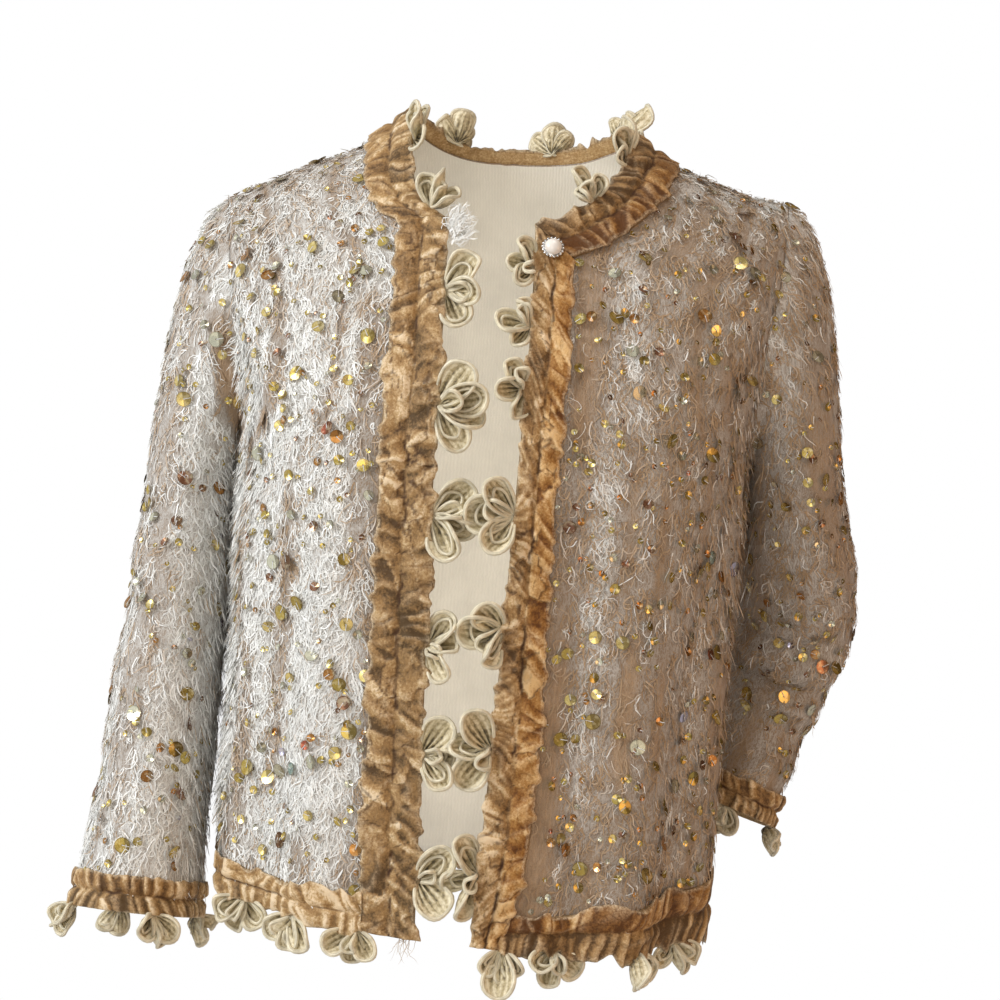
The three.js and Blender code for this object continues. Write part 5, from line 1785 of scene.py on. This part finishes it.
def petal_edge(length, width, t):
    """Half the petal's width and the distance out, on a drop-shaped loop from the root at t 0 to it at 1."""
    angle = t * math.tau
    return width / 2 * np.sin(angle) * (1 - 0.36 * np.cos(angle)), length * (1 - np.cos(angle)) / 2


def cupped(sideways, reach, length, width, cup):
    """The rise of a spoon's edge towards its tip and its sides."""
    return RIM_LIES + cup * ((reach / length) ** 2 * 0.7 + (sideways / width * 2) ** 2 * 0.8)


def add_cord(parts, path, radius, sides, turned):
    points, faces = tube(cord_rings(turned(path), radius, sides), wrap=True)
    around = np.linspace(0, 1, sides, endpoint=False)[None, :]
    run = np.cumsum(np.linalg.norm(np.diff(path, axis=0, prepend=path[-1:]), axis=1))[:, None]
    parts.add(points, faces, 0, np.stack(np.broadcast_arrays(run, around), -1), pleat=1.0)


def add_petal(parts, rng, length, width, cup, swing, nested):
    """One petal: olive cloth gathered at its root inside a satin cord rim, which can be doubled."""
    spin = Matrix.Rotation(swing, 3, "Z") @ Matrix.Rotation(rng.uniform(-0.15, 0.45), 3, "X")
    spin = np.array(spin @ Matrix.Rotation(rng.normal(0, 0.38), 3, "Y"))

    def turned(points):
        return points @ spin.T

    def wobble(share):
        """Small uneven waves round a closed cord, in millimetres."""
        turns, starts = rng.integers(2, 5, 3), rng.uniform(0, 6, 3)
        return np.array([0.5, 0.4, 0.9]) * np.sin(math.tau * turns * share[:, None] + starts)

    t = np.linspace(0, 1, PETAL_STEPS, endpoint=False)
    sideways, reach = petal_edge(length, width, t)
    rim = np.stack([sideways, reach, cupped(sideways, reach, length, width, cup)], 1)
    rim = rim + wobble(t) * np.sin(math.pi * t)[:, None]
    uneven = 1 + 0.12 * np.sin(math.tau * rng.integers(2, 5) * t + rng.uniform(0, 6))
    radius = mix(ROOT_RADIUS, RIM_RADIUS, np.sin(math.pi * t) ** 0.8) * uneven
    add_cord(parts, rim, radius, CORD_SIDES, turned)
    if nested:
        share = np.linspace(0, 1, PETAL_STEPS - 6, endpoint=False)
        sideways, reach = petal_edge(length * rng.uniform(0.66, 0.84), width * rng.uniform(0.5, 0.68), share)
        inner = np.stack([sideways, reach + 1, cupped(sideways, reach, length, width, cup) + 0.5], 1)
        inner = inner + wobble(share) * np.sin(math.pi * share)[:, None]
        add_cord(parts, inner, INNER_RADIUS, 5, turned)
    t = np.linspace(0.03, 0.497, PETAL_ROWS)[:, None]
    v = np.linspace(-1, 1, PETAL_COLUMNS)[None, :]
    sideways, reach = petal_edge(length, width, t)
    sideways, reach = sideways * v, reach + 0 * v
    u = reach / length
    wander = rng.uniform(-1.6, 1.6, 3)
    pleat = 0.5 + 0.5 * np.cos(v * PLEATS * math.pi + wander[0] + wander[1] * u + wander[2] * v * v)
    depth = (1 - v * v) * np.sin(math.pi * np.clip(u, 0, 1)) * (1.4 + 0.25 * cup)
    near = np.clip(1.25 - u * 1.15, 0, 1)
    gather = 2.7 * near * (pleat - 0.35) * (1 - v * v * 0.5)
    height = cupped(sideways, reach, length, width, cup) - depth + gather
    grid = turned(np.stack([sideways, reach, height - 0.3], -1))
    uv = np.stack([reach, v * width / 2 + 0 * reach], -1)
    # Painted shade, carried as the pleat attribute: darker at the root and in the gathers' valleys, lighter
    # out to the tip and the sides.
    shade = np.clip(0.14 + 0.4 * u + 0.85 * (pleat - 0.42) * near + 0.25 * v**2, 0, 1).ravel()
    parts.add(grid, [grid_faces(PETAL_ROWS, PETAL_COLUMNS)], 1, uv, pleat=shade)


def make_flower(name, axes, petals, reach, wing, lean, lift, finishes, seed):
    """Petals fanned out past an edge, whose root, along, away and out are the axes."""
    root, along, away, out = axes
    straight = unit(away - (away * along).sum() * along)
    side = along if (np.cross(along, straight) * out).sum() > 0 else -along
    rng = np.random.default_rng(seed)
    parts = Parts()
    each = FLOWER_FAN / petals
    for i in range(int(petals)):
        swing = each * (i + 0.5) - FLOWER_FAN / 2
        sideways = abs(swing) / (FLOWER_FAN / 2 - each / 2)
        length = mix(reach, wing / math.sin(math.radians(FLOWER_TILT)), sideways) * rng.uniform(0.96, 1.03)
        room = 2 * length * math.tan(math.radians(each / 2)) * 0.95
        width = min(length * 0.66, room) * rng.uniform(0.88, 1.12)
        cup, swing = rng.uniform(2.5, 7.5), math.radians(swing + rng.uniform(-6, 6))
        add_petal(parts, rng, length, width, cup, swing, rng.random() < NESTED)
    length = HEART * reach
    add_petal(parts, rng, length, HEART * length, 9.0, math.radians(rng.uniform(-38, 38)), False)
    # The root's end tucks in behind the ribbon, and the petals tip up with the flower.
    tilt = Matrix.Rotation(math.radians(lift), 3, "X") @ Matrix.Rotation(math.radians(lean), 3, "Z")
    basis = np.stack([side, straight, np.cross(side, straight)], 1)
    parts.moved(basis @ np.array(tilt), root + straight * FLOWER_STAND)
    mesh = parts.mesh(f"{name}_loops", [finishes["braid"], finishes["petal"]])
    link(mesh.name, mesh, [name])


def edge_frame(edge, ahead, inside, out):
    return edge, unit(ahead - edge), unit(edge - inside), out


def flower_frame(place, at):
    """The root, and the ways along, away from and out of an edge, of a flower at a place on it."""
    kind, _, side = place.partition("_")
    if kind == "front":
        drop = float(drop_at_z(float(edge_x(side, 1)), at))
        turn = float(turn_at_x(edge_x(side, drop), drop))
        down, out = body_axes(turn, drop)
        away = unit(np.cross(out, down))
        return body_point(turn, drop), down, -away if away[0] * SIDES[side] > 0 else away, out
    if kind == "neck":
        near = (at, 0), (at + 0.004, 0), (at, 0.25)
        edge, ahead, inside = (body_point(*neck_place(v, c)) for v, c in near)
        out = body_axes(*neck_place(at, 0.0))[1]
        return edge_frame(edge + out * NECK_RAISE, ahead, inside, out)
    if kind == "hem":
        edge, ahead, inside = (body_point(v, d) for v, d in ((at, 2), (at + 0.5, 2), (at, 1.98)))
        return edge_frame(edge, ahead, inside, body_axes(at, 2.0)[1])
    centre, axis = arm_section(side, 1.0)[:2]
    edge, ahead = arm_point(side, 1, at), arm_point(side, 1, at + 0.004)
    return edge, unit(ahead - edge), axis, unit(edge - centre)


# ---------------- button and threads


def lathe(profile, segments):
    """Points and faces of a turned body. The profile's first and last radii are 0."""
    radii, heights = profile[1:-1, 0], profile[1:-1, 1]
    angle = np.linspace(0, math.tau, segments, endpoint=False)
    ring = np.stack([np.cos(angle), np.sin(angle), 0 * angle], -1)
    grid = ring[None] * radii[:, None, None]
    grid[..., 2] = heights[:, None]
    points, faces = tube(grid)
    points[-2:, 2] = [profile[0, 1], profile[-1, 1]]
    return points, faces


PEARL_DOME = [[5.6 * math.cos(a), 2.7 + 4.4 * math.sin(a)] for a in np.radians(np.linspace(-14, 90, 12))]
PEARL = np.array([[0, 1.6], *PEARL_DOME[:-1], [0, 7.1]])
BEZEL = np.array([[0, 0], [5.2, 0], [6.4, 0.5], [6.9, 1.4], [6.3, 2.2], [0, 2.2]])
STONE = np.array([[0, 0], [0.9, 0.1], [1.15, 0.8], [0.75, 1.5], [0, 1.75]])
STONES, STONE_RING, STONE_SEAT = 18, 6.6, 1.0


def make_button(finishes):
    drop = float(drop_at_z(BUTTON_X, BUTTON_Z))
    turn = float(turn_at_x(BUTTON_X, drop))
    down, out = body_axes(turn, drop)
    seat = body_point(turn, drop) + out * (RIBBON_SEAT + BUTTON_SEAT)
    basis = np.stack([np.cross(down, out), -down, out], 1)
    pearl, bezel = Parts(), Parts()
    pearl.add(*lathe(PEARL, 40))
    bezel.add(*lathe(BEZEL, 36))
    for i in range(STONES):
        angle = i * math.tau / STONES
        points, faces = lathe(STONE, 7)
        place = [math.cos(angle) * STONE_RING, math.sin(angle) * STONE_RING, STONE_SEAT]
        bezel.add(points + np.array(place), faces)
    for parts, name, slot, node, finish in (
        (pearl, "button_pearl_dome", "button_pearl", "button_pearl", "pearl"),
        (bezel, "button_bezel", "button_metal", "button_cup", "crystal"),
    ):
        parts.moved(basis, seat)
        link(name, parts.mesh(name, [finishes[finish]]), [node])


TUFT = {"x": -36.0, "z": -86.0, "way": (0.8, -0.2, 0.5), "strands": 260}
HEM_ENDS, HEM_ENDS_TURN = 14, -30.0


def make_loose_threads(finishes):
    """The tuft of fringe at the right neck corner and the ends that hang below the hem's right corner."""
    rng, count = np.random.default_rng(77), TUFT["strands"]
    level = drop_at_z(TUFT["x"], TUFT["z"])
    turn = turn_at_x(TUFT["x"] + rng.normal(0, 1.6, count), level)
    base = body_point(turn, level + rng.normal(0, 0.012, count)) + np.array([0, -2.5, 0])
    ways = unit(np.array(TUFT["way"])), np.array([0.0, -1.0, 0.0])
    axes = [np.broadcast_to(way, base.shape) for way in ways]
    sizes = rng.uniform(8, 19, count), rng.uniform(0.7, 1.3, count), rng.uniform(0.7, 1, count)
    link_lashes("neck_tuft", rng, base, axes, sizes, finishes["lashes"], spread=0.45)
    count = HEM_ENDS
    turn = turn_at_x(np.full(count, HEM_ENDS_TURN) + rng.normal(0, 3, count), 2.0)
    base, axes = body_point(turn, 2 + 0 * turn), body_axes(turn, 2 + 0 * turn)
    sizes = rng.uniform(9, 20, count), np.full(count, 0.4), np.full(count, 0.4)
    link_lashes("hem_threads", rng, base, axes, sizes, finishes["lashes"], curl=(0.2, 1.2))


# ---------------- studio

CAMERA = {"place": (-6, -1400, -262), "lens": 72}
FLOOR_Z, FLOOR_REACH, FLOOR_SIDES = -1400, 2900, 64
MIDDLE, HOLLOW = (-0.02, 0, -0.28), (-0.006, 0.1, -0.3)
LIGHTS = (
    # name, its power's setting, place, target, width and height, colour
    ("Key", "key_light", (-1.75, -1.15, 0.75), MIDDLE, (0.7, 0.7), (0.985, 1.0, 1.025)),
    ("Front", "front_light", (-0.25, -2.0, -0.25), MIDDLE, (0.8, 0.8), (1.0, 0.9, 0.76)),
    ("Inside bounce", "inside_light", (-0.006, -0.02, -0.3), HOLLOW, (0.2, 0.5), (1.0, 0.96, 0.9)),
    ("Top", "top_light", (0.35, -0.55, 1.25), (0.15, 0.0, -0.1), (0.6, 0.6), (1.0, 0.93, 0.84)),
    ("Warm fill", "fill_light", (1.7, -1.0, -0.3), MIDDLE, (1.1, 1.1), (1.0, 0.6, 0.33)),
)


def make_camera():
    camera = bpy.data.cameras.new("Camera")
    camera.lens, camera.sensor_width = CAMERA["lens"], 36
    camera.clip_start, camera.clip_end = 0.05, 50
    obj = placed("Camera", camera, [v * MM for v in CAMERA["place"]])
    obj.rotation_euler = (math.pi / 2, 0, 0)
    bpy.context.scene.camera = obj
    bpy.context.scene.view_settings.view_transform = "Standard"


def make_floor():
    def paint(w):
        return {"Base Color": w.ramp(w.noise(w.here(), 2), (0.3, 0.8), (0.7, 0.84))}

    ring = np.arange(FLOOR_SIDES)
    angle = ring * math.tau / FLOOR_SIDES
    rim = np.stack([np.cos(angle) * FLOOR_REACH, np.sin(angle) * FLOOR_REACH, 0 * angle + FLOOR_Z], 1)
    points = np.concatenate([rim, [[0, 0, FLOOR_Z]]])
    faces = [np.stack([ring, (ring + 1) % FLOOR_SIDES, 0 * ring + FLOOR_SIDES], 1)]
    mesh = mesh_of("studio_floor", points, faces, [finish_of("Pale floor", paint, {"Roughness": 0.8})])
    placed("studio_floor", mesh)


def make_room(strength):
    """White to the camera, and for the light pale at the upper left and dark brown at the lower right."""
    world = bpy.data.worlds.new("Studio")
    bpy.context.scene.world = world
    world.use_nodes = True
    w = Wiring(world.node_tree)
    for node in list(world.node_tree.nodes):
        world.node_tree.nodes.remove(node)
    x, y, z = w.split(w.add("ShaderNodeTexCoord").outputs["Generated"])
    lean = w.minus(w.plus(w.times(x, 0.62), w.times(y, 0.35)), w.times(z, 0.35))
    room = w.ramp(
        w.plus(w.times(lean, 0.5), 0.5),
        (0.08, (0.96, 0.98, 1.0)),
        (0.3, (0.86, 0.86, 0.85)),
        (0.44, (0.47, 0.39, 0.31)),
        (0.6, (0.225, 0.145, 0.085)),
        (0.8, (0.135, 0.08, 0.044)),
        (1.0, (0.085, 0.048, 0.026)),
    )
    seen = w.add("ShaderNodeBackground", {"Color": (1, 1, 1), "Strength": 1.0})
    lit = w.add("ShaderNodeBackground", {"Color": room, "Strength": strength})
    to_camera = w.add("ShaderNodeLightPath").outputs["Is Camera Ray"]
    mixed = w.add("ShaderNodeMixShader", {0: to_camera, 1: lit.outputs[0], 2: seen.outputs[0]})
    w.add("ShaderNodeOutputWorld", {"Surface": mixed.outputs[0]})


def make_lights(settings):
    for name, power, place, target, size, colour in LIGHTS:
        light = bpy.data.lights.new(name, "AREA")
        light.shape, light.energy, light.color = "RECTANGLE", getattr(settings, power), colour
        light.size, light.size_y = size
        obj = placed(name, light, place)
        obj.rotation_euler = (Vector(target) - obj.location).to_track_quat("-Z", "Y").to_euler()


# ---------------- the add-on


def number_of(name, description, default, unit="NONE"):
    return bpy.props.FloatProperty(name=name, description=description, default=default, unit=unit)


def length_of(name, description, default):
    return number_of(name, description, default, "LENGTH")


def colour_of(name, description, default):
    return bpy.props.FloatVectorProperty(name=name, description=description, default=default, subtype="COLOR")


class BlazerCloth(bpy.types.PropertyGroup):
    fringe_length: length_of("Fringe length", "Length of the usual strand", 0.0108)
    fringe_width: length_of("Fringe width", "Width of a strand at its root", 0.00086)
    row_pitch: length_of("Row pitch", "Distance between two rows of fringe", 0.009)
    cloth_colour: colour_of("Cloth", "Colour of the ribbed ground", (0.49, 0.325, 0.19))
    wrong_side_colour: colour_of("Wrong side", "Colour of the cloth's inner face", (0.88, 0.84, 0.75))
    fringe_colour: colour_of("Fringe", "Colour of the brightest strands", (0.91, 0.912, 0.885))


class BlazerTrim(bpy.types.PropertyGroup):
    velvet_colour: colour_of("Velvet", "Colour of the ribbon's pile", (0.42, 0.25, 0.1))
    braid_colour: colour_of("Braid", "Colour of the flowers' cord", (0.93, 0.84, 0.62))
    petal_colour: colour_of("Petals", "Colour of the cloth inside a petal", (0.64, 0.52, 0.29))


class BlazerStudio(bpy.types.PropertyGroup):
    key_light: number_of("Key light", "Power of the key", 29.0)
    front_light: number_of("Front light", "Power of the light behind the camera", 3.9)
    inside_light: number_of("Inside light", "Power of the light within the hollow body", 0.22)
    top_light: number_of("Top light", "Power of the light over the shoulders", 4.5)
    fill_light: number_of("Fill light", "Power of the warm fill", 7.8)
    room_light: number_of("Room light", "Strength of the room's light", 0.67)


FINISHES = {}


def all_finishes():
    """The materials, made when the first operator asks for them."""
    if not FINISHES:
        FINISHES.update(make_finishes(bpy.context.scene.blazer_cloth, bpy.context.scene.blazer_trim))
    return FINISHES


class BLAZER_OT_cloth(bpy.types.Operator):
    """Cuts and hangs the five cloth panels, with their fringe and sequins"""

    bl_idname = "blazer.cloth"
    bl_label = "Cloth panels"

    def execute(self, context):
        settings, finishes = context.scene.blazer_cloth, all_finishes()
        fronts, sleeves = ([make(side) for side in SIDES] for make in (front_panel, sleeve_panel))
        for panel in [*fronts, back_panel(), *sleeves]:
            cloth = make_cloth(panel, finishes)
            with_pieces = [make_fringe(panel, settings, finishes), make_sequins(panel, finishes)]
        return {"FINISHED"}


class BLAZER_OT_ribbon(bpy.types.Operator):
    """Gathers the velvet ribbon along every edge"""

    bl_idname = "blazer.ribbon"
    bl_label = "Velvet ribbon"

    def execute(self, context):
        finishes = all_finishes()
        for side in SIDES:
            make_front_ribbon(side, finishes)
            make_cuff_ribbon(side, finishes)
        make_neck_ribbon(finishes)
        make_hem_ribbon(finishes)
        return {"FINISHED"}


class BLAZER_OT_flowers(bpy.types.Operator):
    """Sews a looped-braid flower at each of its places"""

    bl_idname = "blazer.flowers"
    bl_label = "Braid flowers"

    def execute(self, context):
        finishes = all_finishes()
        for order, (place, rows) in enumerate(FLOWERS.items()):
            for i, (at, *sizes) in enumerate(zip(*rows.values())):
                axes = flower_frame(place, at)
                make_flower(f"flower_{place}_{i + 1}", axes, *sizes, finishes, 1000 + 40 * order + i)
        return {"FINISHED"}


class BLAZER_OT_button(bpy.types.Operator):
    """Sews on the pearl button, and leaves the loose threads"""

    bl_idname = "blazer.button"
    bl_label = "Button and threads"

    def execute(self, context):
        finishes = all_finishes()
        make_button(finishes)
        make_loose_threads(finishes)
        return {"FINISHED"}


class BLAZER_OT_studio(bpy.types.Operator):
    """Sets up the camera, the floor and the lights"""

    bl_idname = "blazer.studio"
    bl_label = "Studio"

    def execute(self, context):
        settings = context.scene.blazer_studio
        make_camera()
        make_floor()
        make_room(settings.room_light)
        make_lights(settings)
        return {"FINISHED"}


class BLAZER_PT_panel(bpy.types.Panel):
    """Lists the jacket's settings and its makers"""

    bl_idname = "BLAZER_PT_panel"
    bl_label = "Sequin Blazer"
    bl_space_type = "VIEW_3D"
    bl_region_type = "UI"
    bl_category = "Blazer"

    def draw(self, context):
        layout = self.layout
        for name in SETTINGS:
            group = getattr(context.scene, name)
            for key in group.__annotations__:
                layout.prop(group, key)
        for operator in OPERATORS:
            layout.operator(operator.bl_idname)


SETTINGS = {"blazer_cloth": BlazerCloth, "blazer_trim": BlazerTrim, "blazer_studio": BlazerStudio}
OPERATORS = [BLAZER_OT_studio, BLAZER_OT_cloth, BLAZER_OT_ribbon, BLAZER_OT_flowers, BLAZER_OT_button]


def register():
    for cls in [*SETTINGS.values(), *OPERATORS, BLAZER_PT_panel]:
        bpy.utils.register_class(cls)
    for name, cls in SETTINGS.items():
        setattr(bpy.types.Scene, name, bpy.props.PointerProperty(type=cls))


def unregister():
    for name in SETTINGS:
        delattr(bpy.types.Scene, name)
    for cls in reversed([*SETTINGS.values(), *OPERATORS, BLAZER_PT_panel]):
        bpy.utils.unregister_class(cls)


def main():
    register()
    bpy.ops.blazer.studio()
    bpy.ops.blazer.cloth()
    bpy.ops.blazer.ribbon()
    bpy.ops.blazer.flowers()
    bpy.ops.blazer.button()


if __name__ == "__main__":
    main()
